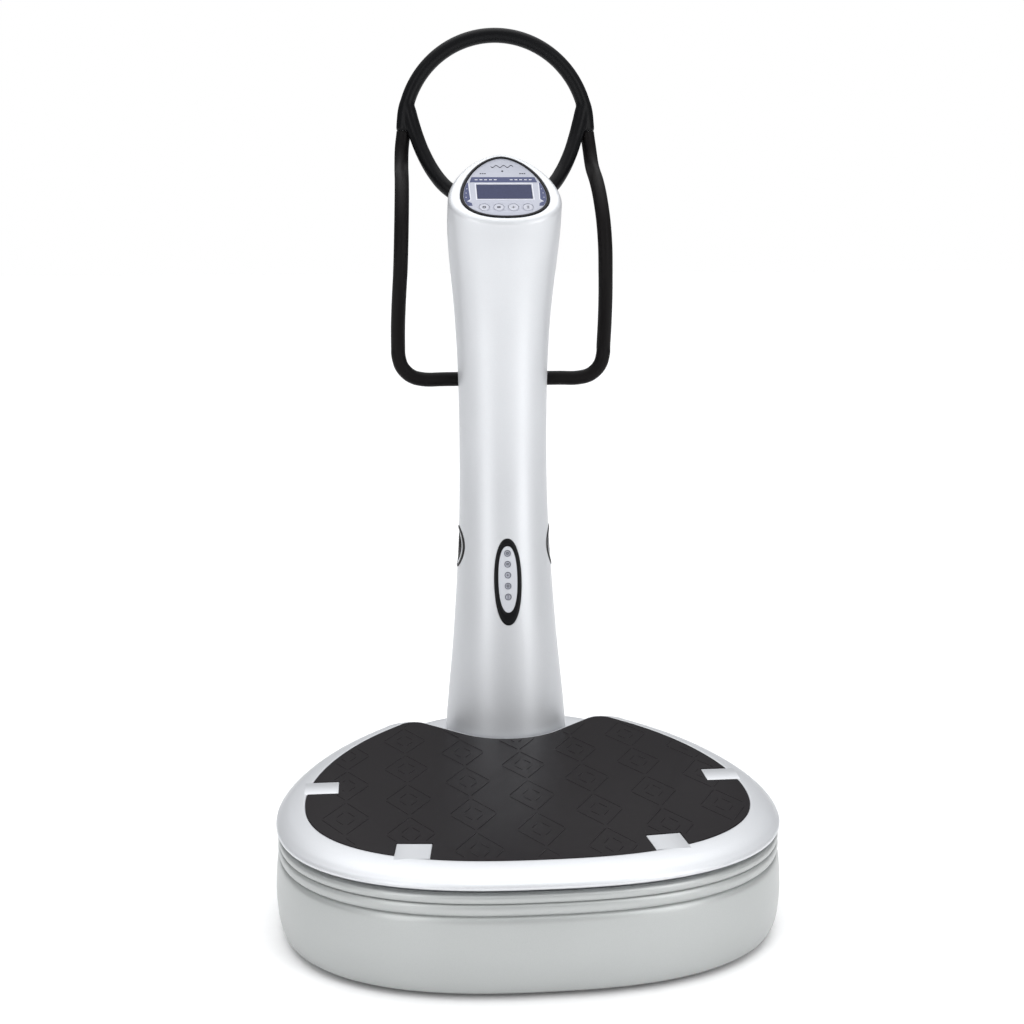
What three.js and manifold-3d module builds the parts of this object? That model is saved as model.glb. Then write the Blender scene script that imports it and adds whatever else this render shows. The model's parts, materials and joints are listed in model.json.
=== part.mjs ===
// A vibration plate: a rocking deck on a round-nosed base, with a column, a console and a loop of handles.
// Millimetres. X to the user's right, Y from the user towards the column, Z up, floor at Z = 0.
import * as THREE from 'three';
import { mergeVertices } from 'three/addons/utils/BufferGeometryUtils.js';
import Module from 'manifold-3d';

// ---------------------------------------------------------------- driving dimensions
// Y = 0 is the line where the base is widest; the whole group is centred on its own box at the end.
const clearance = 0.4; // between pieces that touch

// base outline, seen from above
const base = { halfWidth: 346, front: 270, rear: 445, frontPower: 2.5, rearPower: 1.75 };
const notchRadius = 98; // round the column foot
const lobeRadius = 46; // at the two rear corners of the deck

// heights
const footHeight = 14;
const panThickness = 4;
const housingBottom = 8;
const housingTop = 140;
const deckGap = 6.5; // dark groove that lets the deck rock
const deckTop = housingTop + 30;
const matThickness = 3;
const deckPlateThickness = 5;
const coverTop = housingTop + 7;

// walls and insets from the base outline
const housingWall = 14;
const panInset = 16.5;
const matInset = 41;
const matNotchInset = 4.4;
const lipInset = 19.5;
const lipThickness = 3.5;
const lipDrop = 16.5;
const deckWall = 8;
const coverGap = 6; // between the deck and the rear cover
const plateInset = 26;

// insets from the notch round the column
const lipNotchInset = 6;
const pocketNotchInset = 5;
const webNotchInset = 4;
const plateNotchInset = 12;

// rubber feet
const footRadius = 25;
const footPlaces = {
  front_left: [-215, -110],
  front_right: [215, -110],
  rear_left: [-170, 270],
  rear_right: [170, 270],
};

// mat clips: width, reach in from the mat edge, place and splay
const clipWidth = 46;
const clipReach = 45;
const sideClipY = 46;
const frontClipX = 165;
const frontClipSplay = 6; // degrees

// deck pivot
const pivotZ = 100;
const pivotPinRadius = 10;
const pivotBlock = { width: 60, thickness: 24, crown: pivotPinRadius + 8 };
const pivotPlaces = { front: -185, rear: 185 };
const pivotLug = { width: 44, thickness: 8, gap: 5, foot: pivotPinRadius + 5 };
const pivotPinEnd = 3; // past the outer lugs

// crank drive
const crankY = 20;
const crankZ = 62;
const crankRadius = 10;
const crankReach = 160;
const crankThrow = 2;
const eccentric = { x: 145, radius: 14, width: 16 };
const crankBlock = { x: 115, thickness: 20, width: 50, crown: crankRadius + 6 };
const crankPulleyRadius = 36;
const rotorPulleyRadius = 24;
const pulleyX = 70;
const pulleyWidth = 14;
const beltThickness = 3;
const beltWidth = 12;

// connecting rods: the big end runs free round its eccentric
const rodPinZ = deckTop - 45;
const rodPinRadius = 5;
const rodThickness = 12;
const rodFreedom = 6;
const rodWall = 4;
const rodLug = { gap: 2, thickness: 6, width: 24, foot: rodPinRadius + 5 };
const rodPinEnd = 2; // past the outer lugs

// motor
const motor = { y: -85, z: 70, radius: 46, left: -75, right: 45, shaft: 7, boreEnd: -60 };
const motorCradle = { left: -50, right: 20, halfWidth: 40, top: 40 };

// drive board
const driveBoard = { x: -150, y: 150, width: 110, depth: 80, thickness: 1.6, lift: 10, post: 6 };

// mains inlet panel in the rear of the skirt
const inlet = { z: 62, halfWidth: 38, halfHeight: 17, depth: 17, proud: 1.5 };
const socket = { x: -14, halfWidth: 12.5, halfHeight: 8.5, depth: 13, pin: 7 };
const socketPins = { spread: 6, low: -2, high: 3, halfWidth: 1, halfHeight: 2 };
const rocker = { x: 19, halfWidth: 7, halfHeight: 10.5, proud: 3, depth: 7, gap: 1.2, tilt: 7 };

// column: steel post inside two shells
const postY = 368;
const post = { halfWidth: 30, halfDepth: 25, wall: 3, top: 958, flange: 6 };
const postFlange = { halfWidth: 72, front: 70, rear: 30 };
const shellWall = 4;
const seamY = 352;
const seamTopY = 396;
const seamBendZ = 900;
const seamTopZ = 1070;
const seamGap = 0.4;

// level or tilted egg-shaped sections of the column: widest line at (y, z), reaches along its own plane
const headTilt = 39.3;
const columnFootZ = coverTop + clearance;
const columnSections = [
  { z: columnFootZ, y: 332, halfWidth: 96.5, front: 86, rear: 86, tilt: 0, frontPower: 2.05, rearPower: 2.05 },
  { z: 212, y: 334, halfWidth: 91, front: 82, rear: 83, tilt: 0, frontPower: 2.1, rearPower: 2.1 },
  { z: 262, y: 337, halfWidth: 86, front: 78, rear: 80, tilt: 0, frontPower: 2.15, rearPower: 2.15 },
  { z: 328, y: 342, halfWidth: 80, front: 73, rear: 75, tilt: 0, frontPower: 2.2, rearPower: 2.2 },
  { z: 393, y: 348, halfWidth: 75.4, front: 68, rear: 70, tilt: 0, frontPower: 2.2, rearPower: 2.2 },
  { z: 458, y: 354, halfWidth: 71.5, front: 63, rear: 66, tilt: 0, frontPower: 2.2, rearPower: 2.2 },
  { z: 560, y: 362, halfWidth: 68.4, front: 58, rear: 62, tilt: 0, frontPower: 2.2, rearPower: 2.2 },
  { z: 679, y: 364, halfWidth: 68.6, front: 58, rear: 61, tilt: 0, frontPower: 2.2, rearPower: 2.2 },
  { z: 760, y: 363, halfWidth: 71, front: 60, rear: 61, tilt: 0, frontPower: 2.2, rearPower: 2.2 },
  { z: 832, y: 358, halfWidth: 76, front: 63, rear: 64, tilt: 4, frontPower: 2.2, rearPower: 2.1 },
  { z: 892, y: 348, halfWidth: 82, front: 65, rear: 72, tilt: 14, frontPower: 2.2, rearPower: 1.95 },
  { z: 945, y: 330, halfWidth: 85.5, front: 63, rear: 90, tilt: 27, frontPower: 2.3, rearPower: 1.8 },
  { z: 986.3, y: 307, halfWidth: 85, front: 60, rear: 108, tilt: headTilt, frontPower: 2.3, rearPower: 1.72 },
];
const columnFootY = columnSections[0].y;
const headSection = columnSections[columnSections.length - 1];
const faceWall = 5;

// console, in the tilted plane of the head
const bezel = { halfWidth: 66.5, front: 49, rear: 96, frontPower: 2.3, rearPower: 1.72 };
const bezelWidth = 3.2;
const bezelLedge = 4;
const bezelProud = 1.2;
const fasciaThickness = 3;
const lcd = { x: 0, y: 11.5, halfWidth: 41, halfHeight: 16.7, thickness: 4 };
const consoleBoardDrop = 5;
const boardThickness = 1.6;
const consoleKeys = { radius: 7.5, spacing: 21.7, y: -25, proud: 0.9 };
const keyFlange = 1;
const keyGap = 0.4; // round each key and behind its panel

// keypad on the column front
const keypad = { y: 282, z: 404, lean: 9.85, halfWidth: 21, halfHeight: 67, power: 2.2 };
const keypadInsert = { halfWidth: 14, halfHeight: 51.5, rise: 4, power: 2.3 };
const keypadProud = 1.6;
const keypadDepth = 5;
const keypadPanel = { out: 0.6, in: 2.4, keyDepth: 5 };
const keypadBoard = { inset: 3, endInset: 4 };
const keypadKeys = { radius: 5, spacing: 16.8, top: 44.5, count: 5, proud: 0.9 };
const keypadBoardBack = 14;

// speakers in the column sides
const speaker = { y: 354, z: 448, radius: 33, ring: 5, proud: 1, depth: 3.4, grilleInset: 0.8 };

// handles
const tubeRadius = 8;
const tubeBore = tubeRadius + 1; // in the post's upper bracket
const gripInner = tubeRadius + 1.8;
const gripRadius = gripInner + 1.6;
const ringRadius = 145;
const ringY = 470;
const ringZ = 1091;
const barZ = 708;
const barY = 384;
const cornerRadius = 40;
const sideX = ringRadius + 16;
const tubeEndX = 37;
const sweepStep = 28.4; // length of a straight piece of the loop tube and its sleeves
const bowSteps = 14;
const sleeveGapSteps = 0.02; // between the top grip and a side grip
const gripEndSteps = 1; // from each end of the loop to a side grip
const bowGripStep = 3; // steps each side of the middle left bare inside the head
const junctionRadius = gripRadius + 1.6;
const junctionInset = 12; // its end, in from the ring's side
const junctionRise = 22; // and up from the ring's centre
const lowerBracket = { halfWidth: 50, halfHeight: 20, margin: 9 };
const upperBracket = { halfWidth: 22, front: 8, rear: 30, bottom: 26, top: 32 };

// ---------------------------------------------------------------- materials
function finish(color, roughness, metalness) {
  return new THREE.MeshStandardMaterial({ color, roughness, metalness });
}
const silverPaint = finish(0xd6d9e2, 0.35, 0.4);
const skirtPaint = finish(0xc6cccd, 0.4, 0.4);
const blackRubber = finish(0x1c1c20, 0.85, 0);
const matRubber = finish(0x29252b, 0.8, 0);
const sleeveRubber = finish(0x2b2729, 0.9, 0);
const blackPlastic = finish(0x101014, 0.5, 0);
const fasciaPlastic = finish(0xcfd0e0, 0.35, 0.2);
const keyPlastic = finish(0xdfe0ea, 0.4, 0.1);
const displayGlass = finish(0x1f2748, 0.1, 0);
const circuitBoard = finish(0x1d5c34, 0.6, 0);
const paintedSteel = finish(0x3a3d42, 0.5, 0.6);
const bareSteel = finish(0xa9adb2, 0.35, 1);
const castMetal = finish(0x6d7175, 0.6, 0.8);
const redPlastic = finish(0xa01818, 0.4, 0);

// ---------------------------------------------------------------- solids
const wasm = await Module();
wasm.setup();

function solid(geometry) {
  const bare = geometry.clone();
  bare.deleteAttribute('normal');
  bare.deleteAttribute('uv');
  const merged = mergeVertices(bare, 1e-4);
  const vertProperties = Float32Array.from(merged.attributes.position.array);
  const triVerts = Uint32Array.from(merged.index.array);
  return new wasm.Manifold(new wasm.Mesh({ numProp: 3, vertProperties, triVerts }));
}

function geometryOf(manifold) {
  const mesh = manifold.getMesh();
  const geometry = new THREE.BufferGeometry();
  geometry.setAttribute('position', new THREE.BufferAttribute(Float32Array.from(mesh.vertProperties), 3));
  geometry.setIndex(Array.from(mesh.triVerts));
  return geometry;
}

const cut = (body, ...tools) => tools.reduce((rest, tool) => rest.subtract(tool), body);
const join = (body, ...others) => others.reduce((sum, other) => sum.add(other), body);

// A closed skin through rings of equal length, lowest first, each anticlockwise from above.
function loft(rings) {
  const count = rings[0].length;
  const positions = [];
  for (const ring of rings) {
    for (const p of ring) positions.push(p.x, p.y, p.z);
  }
  const indices = [];
  for (let r = 0; r + 1 < rings.length; r += 1) {
    for (let i = 0; i < count; i += 1) {
      const a = r * count + i;
      const b = r * count + ((i + 1) % count);
      indices.push(a, b, b + count, a, b + count, a + count);
    }
  }
  const flat = (ring) => ring.map((p) => new THREE.Vector2(p.x, p.y));
  for (const [a, b, c] of THREE.ShapeUtils.triangulateShape(flat(rings[0]), [])) {
    indices.push(a, c, b);
  }
  const top = (rings.length - 1) * count;
  for (const [a, b, c] of THREE.ShapeUtils.triangulateShape(flat(rings[rings.length - 1]), [])) {
    indices.push(top + a, top + b, top + c);
  }
  const geometry = new THREE.BufferGeometry();
  geometry.setAttribute('position', new THREE.Float32BufferAttribute(positions, 3));
  geometry.setIndex(indices);
  return solid(geometry);
}

const raised = (outline, z) => outline.map((p) => new THREE.Vector3(p.x, p.y, z));

function prism(outline, bottom, top, placement = new THREE.Matrix4()) {
  const geometry = new THREE.ExtrudeGeometry(new THREE.Shape(outline), {
    depth: top - bottom,
    bevelEnabled: false,
    steps: 1,
  });
  geometry.translate(0, 0, bottom);
  return solid(geometry.applyMatrix4(placement));
}

function block(x0, x1, y0, y1, z0, z1, placement = new THREE.Matrix4()) {
  const geometry = new THREE.BoxGeometry(x1 - x0, y1 - y0, z1 - z0);
  geometry.translate((x0 + x1) / 2, (y0 + y1) / 2, (z0 + z1) / 2);
  return solid(geometry.applyMatrix4(placement));
}

// Turns a prism whose outline is drawn in (Y, Z) so that it runs along X.
const acrossX = new THREE.Matrix4().makeBasis(
  new THREE.Vector3(0, 1, 0),
  new THREE.Vector3(0, 0, 1),
  new THREE.Vector3(1, 0, 0),
);

// A round bar along X, Y or Z, from one place to another on that axis.
function bar(axis, radius, from, to, centre, sides = 16) {
  const geometry = new THREE.CylinderGeometry(radius, radius, to - from, sides);
  if (axis === 'x') geometry.rotateZ(-Math.PI / 2);
  if (axis === 'z') geometry.rotateX(Math.PI / 2);
  const middle = (from + to) / 2;
  const [u, v] = centre;
  const place = { x: [middle, u, v], y: [u, middle, v], z: [u, v, middle] };
  geometry.translate(...place[axis]);
  return solid(geometry);
}

// ---------------------------------------------------------------- outlines
const power = (value, exponent) => Math.sign(value) * Math.abs(value) ** exponent;

// A point of an egg outline: front and rear are superellipses with their own reach and power.
function eggPoint(egg, angle, inset = 0) {
  const inFront = Math.sin(angle) < 0;
  const reach = (inFront ? egg.front : egg.rear) - inset;
  const exponent = 2 / (inFront ? egg.frontPower : egg.rearPower);
  const x = (egg.halfWidth - inset) * power(Math.cos(angle), exponent);
  return new THREE.Vector2(x, reach * power(Math.sin(angle), exponent));
}

function eggOutline(egg, inset = 0, count = 44) {
  const angles = Array.from({ length: count }, (_, i) => (2 * Math.PI * i) / count);
  return angles.map((angle) => eggPoint(egg, angle, inset));
}

function ovalOutline(oval, inset = 0, count = 24) {
  const egg = {
    halfWidth: oval.halfWidth,
    front: oval.halfHeight,
    rear: oval.halfHeight,
    frontPower: oval.power,
    rearPower: oval.power,
  };
  return eggOutline(egg, inset, count);
}

// The deck: the base egg with a round-bottomed notch for the column and rounded lobes beside it.
function deckOutline(inset, notchInset = inset) {
  const radius = notchRadius + notchInset;
  const tip = lobeRadius - inset / 2;
  const notchCentre = new THREE.Vector2(0, columnFootY);
  const intoDeck = new THREE.Vector2(Math.SQRT1_2, -Math.SQRT1_2);
  const alongFlank = new THREE.Vector2(Math.SQRT1_2, Math.SQRT1_2);
  const flankStart = notchCentre.clone().addScaledVector(intoDeck, radius + tip);
  const onLine = (s) => flankStart.clone().addScaledVector(alongFlank, s);
  const halfWidth = base.halfWidth - inset - tip;
  const rear = base.rear - inset - tip;
  const outside = (p) => (p.x / halfWidth) ** base.rearPower + (Math.abs(p.y) / rear) ** base.rearPower > 1;
  let near = 0;
  let far = base.rear;
  for (let i = 0; i < 40; i += 1) {
    const middle = (near + far) / 2;
    if (outside(onLine(middle))) far = middle;
    else near = middle;
  }
  const tipCentre = onLine(near);
  const half = base.rearPower / 2;
  const lobeAngle = Math.atan2((tipCentre.y / rear) ** half, (tipCentre.x / halfWidth) ** half);
  const slope = base.rearPower - 1;
  const normalX = (tipCentre.x / halfWidth) ** slope / halfWidth;
  const normalY = (tipCentre.y / rear) ** slope / rear;
  const tipStart = Math.atan2(normalY, normalX);
  const right = [];
  const eggSteps = 12;
  const tipSteps = 4;
  const notchSteps = 3;
  for (let i = 0; i < eggSteps; i += 1) {
    right.push(eggPoint(base, -Math.PI / 2 + ((lobeAngle + Math.PI / 2) * i) / eggSteps, inset));
  }
  for (let i = 0; i <= tipSteps; i += 1) {
    const angle = tipStart + (((3 * Math.PI) / 4 - tipStart) * i) / tipSteps;
    right.push(new THREE.Vector2(Math.cos(angle), Math.sin(angle)).multiplyScalar(tip).add(tipCentre));
  }
  for (let i = 0; i <= notchSteps; i += 1) {
    const angle = -Math.PI / 4 - (Math.PI / 4) * (i / notchSteps);
    right.push(new THREE.Vector2(Math.cos(angle), Math.sin(angle)).multiplyScalar(radius).add(notchCentre));
  }
  const left = right.slice(1, -1).reverse().map((p) => new THREE.Vector2(-p.x, p.y));
  return [...right, ...left];
}

// ---------------------------------------------------------------- scene graph
const plate = new THREE.Group();

function add(name, shape, material, parent = plate) {
  const geometry = shape.isBufferGeometry ? shape : geometryOf(shape);
  const mesh = new THREE.Mesh(geometry, material);
  mesh.name = name;
  parent.add(mesh);
  return mesh;
}

// ---------------------------------------------------------------- base
function addBase() {
  const panTop = footHeight + panThickness;
  const flangeBottom = panTop + clearance;
  add('base_pan', loft([
    raised(eggOutline(base, panInset), footHeight),
    raised(eggOutline(base, panInset), panTop),
  ]), paintedSteel);
  const footTop = footHeight - clearance;
  for (const [name, [x, y]] of Object.entries(footPlaces)) {
    const profile = [[0, 0], [footRadius - 3, 0], [footRadius, 3], [footRadius - 2, footTop], [0, footTop]];
    const points = profile.map(([r, z]) => new THREE.Vector2(r, z));
    const geometry = new THREE.LatheGeometry(points, 16).rotateX(Math.PI / 2);
    add(`foot_${name}`, solid(geometry), blackRubber).position.set(x, y, 0);
  }

  // skirt with two beads above a groove
  const skirt = [
    [housingBottom, 10], [housingBottom + 16, 3], [60, 0], [housingTop - 36, 3.5], [housingTop - 30, 8.5],
    [housingTop - 26, 4.5], [housingTop - 15, 4.5], [housingTop - 12.5, 8.5], [housingTop - 10, 4.5],
    [housingTop - 2.5, 4.5], [housingTop, 8.5],
  ];
  const outer = loft(skirt.map(([z, inset]) => raised(eggOutline(base, inset), z)));
  const inner = loft([housingBottom - 1, housingTop + 1].map((z) => raised(eggOutline(base, housingWall), z)));
  const window = inletBlock(clearance, housingWall * 2);
  add('lower_housing', cut(outer, inner, window), skirtPaint);

  // fixed cover behind the deck, under the column
  const coverRings = [[housingTop + clearance, 2], [coverTop - 3, 3], [coverTop - 1, 8], [coverTop, 16]];
  const cover = loft(coverRings.map(([z, inset]) => raised(eggOutline(base, inset), z)));
  const deckSpace = loft([housingTop - 1, deckTop].map((z) => raised(deckOutline(-coverGap), z)));
  const postHole = block(
    -post.halfWidth - clearance, post.halfWidth + clearance,
    postY - post.halfDepth - clearance, postY + post.halfDepth + clearance, 0, coverTop + 10,
  );
  const rearOnly = block(-base.halfWidth, base.halfWidth, 0, base.rear, 0, coverTop + 10);
  add('rear_cover', cut(cover, deckSpace, postHole).intersect(rearOnly), silverPaint);

  // speed control board on its posts
  const b = driveBoard;
  const boardZ = flangeBottom + b.lift;
  let board = block(
    b.x - b.width / 2, b.x + b.width / 2, b.y - b.depth / 2, b.y + b.depth / 2,
    boardZ, boardZ + b.thickness,
  );
  for (const sx of [-1, 1]) {
    for (const sy of [-1, 1]) {
      const x = b.x + sx * (b.width / 2 - b.post);
      const y = b.y + sy * (b.depth / 2 - b.post);
      board = join(board, bar('z', b.post / 2, flangeBottom, boardZ + b.thickness / 2, [x, y], 10));
    }
  }
  add('drive_board', board, circuitBoard);
}

function inletBlock(margin, extraDepth = 0) {
  const face = base.rear + inlet.proud;
  return block(
    -inlet.halfWidth - margin, inlet.halfWidth + margin, face - inlet.depth - extraDepth, face + margin,
    inlet.z - inlet.halfHeight - margin, inlet.z + inlet.halfHeight + margin,
  );
}

function addInlet() {
  const face = base.rear + inlet.proud;
  const recess = block(
    socket.x - socket.halfWidth, socket.x + socket.halfWidth, face - socket.depth, face + 1,
    inlet.z - socket.halfHeight, inlet.z + socket.halfHeight,
  );
  let panel = cut(inletBlock(0), recess);
  const pins = socketPins;
  for (const [dx, dz] of [[-pins.spread, pins.low], [pins.spread, pins.low], [0, pins.high]]) {
    const x = socket.x + dx;
    const z = inlet.z + dz;
    panel = join(panel, block(
      x - pins.halfWidth, x + pins.halfWidth, face - socket.depth - 1, face - socket.pin,
      z - pins.halfHeight, z + pins.halfHeight,
    ));
  }
  const opening = block(
    rocker.x - rocker.halfWidth - rocker.gap, rocker.x + rocker.halfWidth + rocker.gap,
    face - inlet.depth - 1, face + 1,
    inlet.z - rocker.halfHeight - rocker.gap, inlet.z + rocker.halfHeight + rocker.gap,
  );
  add('power_inlet', cut(panel, opening), blackPlastic);
  const profile = [
    [3 - rocker.depth, -rocker.halfHeight], [rocker.proud - 1, -rocker.halfHeight], [0.5, 0],
    [rocker.proud - 1, rocker.halfHeight], [3 - rocker.depth, rocker.halfHeight], [-rocker.depth, 0],
  ].map(([y, z]) => new THREE.Vector2(y, z));
  const key = add('power_switch', prism(profile, -rocker.halfWidth, rocker.halfWidth, acrossX), redPlastic);
  key.rotation.x = (-rocker.tilt * Math.PI) / 180;
  key.position.set(rocker.x, face - rocker.gap, inlet.z);
}

// ---------------------------------------------------------------- drive
function addDrive() {
  const floor = footHeight + panThickness + clearance;
  for (const [name, y] of Object.entries(pivotPlaces)) {
    const half = pivotBlock.width / 2;
    const body = block(
      -half, half, y - pivotBlock.thickness / 2, y + pivotBlock.thickness / 2, floor, pivotZ + pivotBlock.crown,
    );
    const bore = bar('y', pivotPinRadius + clearance, y - half, y + half, [0, pivotZ]);
    add(`pivot_block_${name}`, cut(body, bore), castMetal);
    const reach = pivotBlock.thickness / 2 + pivotLug.gap + pivotLug.thickness + pivotPinEnd;
    add(`pivot_pin_${name}`, bar('y', pivotPinRadius, y - reach, y + reach, [0, pivotZ]), bareSteel);
  }
  for (const [name, side] of [['left', -1], ['right', 1]]) {
    const x = side * crankBlock.x;
    const half = crankBlock.thickness / 2;
    const body = block(
      x - half, x + half, crankY - crankBlock.width / 2, crankY + crankBlock.width / 2,
      floor, crankZ + crankBlock.crown,
    );
    const bore = bar('x', crankRadius + clearance, x - 2 * half, x + 2 * half, [crankY, crankZ]);
    add(`crank_bearing_${name}`, cut(body, bore), castMetal);
    add(`rod_${name}`, rod(side), castMetal);
    const pinReach = rodThickness / 2 + rodLug.gap + rodLug.thickness + rodPinEnd;
    const at = side * eccentric.x;
    const pin = bar('x', rodPinRadius, at - pinReach, at + pinReach, [crankY, rodPinZ], 12);
    add(`rod_pin_${name}`, pin, bareSteel);
  }
  const shaft = bar('x', crankRadius, -crankReach, crankReach, [crankY, crankZ]);
  const pulleyFrom = pulleyX - pulleyWidth / 2;
  const pulley = bar('x', crankPulleyRadius, pulleyFrom, pulleyFrom + pulleyWidth, [crankY, crankZ], 24);
  const cams = [-1, 1].map((side) => bar(
    'x', eccentric.radius, side * eccentric.x - eccentric.width / 2, side * eccentric.x + eccentric.width / 2,
    [crankY + side * crankThrow, crankZ],
  ));
  add('crankshaft', join(shaft, pulley, ...cams), bareSteel);

  const centre = [motor.y, motor.z];
  const bore = bar('x', motor.shaft + clearance, motor.boreEnd, motor.right + 1, centre);
  add('motor_body', cut(bar('x', motor.radius, motor.left, motor.right, centre, 24), bore), paintedSteel);
  const cradle = block(
    motorCradle.left, motorCradle.right, motor.y - motorCradle.halfWidth, motor.y + motorCradle.halfWidth,
    floor, motorCradle.top,
  );
  const seat = bar('x', motor.radius + clearance, motor.left, motor.right, centre, 24);
  add('motor_bracket', cut(cradle, seat), paintedSteel);
  const rotorShaft = bar('x', motor.shaft, motor.boreEnd + 2, pulleyX + pulleyWidth, centre);
  const rotorPulley = bar('x', rotorPulleyRadius, pulleyFrom, pulleyFrom + pulleyWidth, centre, 20);
  add('motor_rotor', join(rotorShaft, rotorPulley), bareSteel);
  add('drive_belt', belt(), blackRubber);
}

// The outline of a belt round two pulleys, pad away from them; the first pulley is at the origin.
function beltOutline(firstRadius, secondRadius, distance, pad, arcSteps = 14) {
  const r1 = firstRadius + pad;
  const r2 = secondRadius + pad;
  const tangent = Math.acos((r1 - r2) / distance);
  const points = [];
  for (let i = 0; i <= arcSteps; i += 1) {
    const angle = tangent + ((2 * Math.PI - 2 * tangent) * i) / arcSteps;
    points.push(new THREE.Vector2(r1 * Math.cos(angle), r1 * Math.sin(angle)));
  }
  for (let i = 0; i <= arcSteps; i += 1) {
    const angle = -tangent + (2 * tangent * i) / arcSteps;
    points.push(new THREE.Vector2(distance + r2 * Math.cos(angle), r2 * Math.sin(angle)));
  }
  return points;
}

function belt() {
  const dy = motor.y - crankY;
  const dz = motor.z - crankZ;
  const distance = Math.hypot(dy, dz);
  const ahead = new THREE.Vector3(0, dy, dz).normalize();
  const across = new THREE.Vector3(1, 0, 0);
  const upward = new THREE.Vector3().crossVectors(across, ahead);
  const placement = new THREE.Matrix4().makeBasis(ahead, upward, across);
  placement.setPosition(pulleyX, crankY, crankZ);
  const half = beltWidth / 2;
  const outline = (pad) => beltOutline(crankPulleyRadius, rotorPulleyRadius, distance, pad);
  return cut(
    prism(outline(clearance + beltThickness), -half, half, placement),
    prism(outline(clearance), -half - 1, half + 1, placement),
  );
}

function rod(side) {
  const x = side * eccentric.x;
  const x0 = x - rodThickness / 2;
  const x1 = x + rodThickness / 2;
  const bigBore = eccentric.radius + rodFreedom;
  const smallBore = rodPinRadius + clearance;
  const big = bar('x', bigBore + rodWall, x0, x1, [crankY, crankZ], 20);
  const small = bar('x', smallBore + rodWall, x0, x1, [crankY, rodPinZ], 12);
  const shank = block(x0, x1, crankY - rodPinRadius, crankY + rodPinRadius, crankZ + bigBore, rodPinZ);
  return cut(
    join(big, small, shank),
    bar('x', bigBore, x0 - 1, x1 + 1, [crankY, crankZ], 20),
    bar('x', smallBore, x0 - 1, x1 + 1, [crankY, rodPinZ], 12),
  );
}

// ---------------------------------------------------------------- deck
const recessZ = deckTop - matThickness - clearance;
const rimZ = deckTop - 0.6;
const shellBottom = housingTop + deckGap;
const deckCeiling = deckTop - 10;
const plateTop = deckCeiling - clearance;
const plateBottom = plateTop - deckPlateThickness;

function addDeck() {
  const shoulder = [
    [shellBottom, 3, 0], [shellBottom + 4, 2, 0], [deckTop - 14, 6, 0.4], [deckTop - 8, 14, 0.8],
    [deckTop - 3.5, 25, 1.6], [rimZ, matInset - 4, 2.6],
  ];
  const outer = loft(shoulder.map(([z, inset, notch]) => raised(deckOutline(inset, notch), z)));
  const lipBottom = shellBottom - lipDrop;
  const lip = (inset, notch, z0, z1) => loft([z0, z1].map((z) => raised(deckOutline(inset, notch), z)));
  const lipOuter = lip(lipInset, lipNotchInset, lipBottom, shellBottom + 6);
  const lipInner = lip(lipInset + lipThickness, lipNotchInset + lipThickness, lipBottom - 1, deckCeiling);
  const pocket = lip(deckWall, pocketNotchInset, shellBottom - 1, deckCeiling);
  const web = cut(lip(deckWall - 2, webNotchInset, shellBottom, shellBottom + 4), lipInner);
  const recess = lip(matInset, matNotchInset, recessZ, deckTop + 5);
  add('deck_shell', cut(join(cut(outer, pocket, recess), cut(lipOuter, lipInner), web)), silverPaint);

  const matSpace = (inset) => lip(matInset + inset, matNotchInset + inset, recessZ + clearance, deckTop);
  const clips = clipBlocks(0);
  const slots = clipBlocks(clearance);
  add('deck_mat', cut(matSpace(clearance), ...Object.values(slots)), matRubber);
  for (const [name, clip] of Object.entries(clips)) {
    add(`mat_clip_${name}`, matSpace(clearance).intersect(clip), silverPaint);
  }
  add('deck_plate', deckPlate(), paintedSteel);
}

// Blocks that stand where the four clips lie; the mat outline trims their outer ends.
function clipBlocks(margin) {
  const half = clipWidth / 2 + margin;
  const reach = clipReach + margin;
  const blocks = {};
  for (const [name, side] of [['left', -1], ['right', 1]]) {
    const edge = new THREE.Vector2(side * (base.halfWidth - matInset), sideClipY);
    const sideways = new THREE.Matrix4().setPosition(edge.x, edge.y, 0);
    const inward = -side * reach;
    const outward = side * 60;
    blocks[`side_${name}`] = block(
      Math.min(inward, outward), Math.max(inward, outward), -half, half, 0, deckTop + 9, sideways,
    );
    const t = frontClipX / (base.halfWidth - matInset);
    const frontY = -(base.front - matInset) * (1 - t ** base.frontPower) ** (1 / base.frontPower);
    const forward = new THREE.Matrix4().makeRotationZ((side * frontClipSplay * Math.PI) / 180);
    forward.setPosition(side * frontClipX, frontY, 0);
    blocks[`front_${name}`] = block(-half, half, -60, reach, 0, deckTop + 9, forward);
  }
  return blocks;
}

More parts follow.
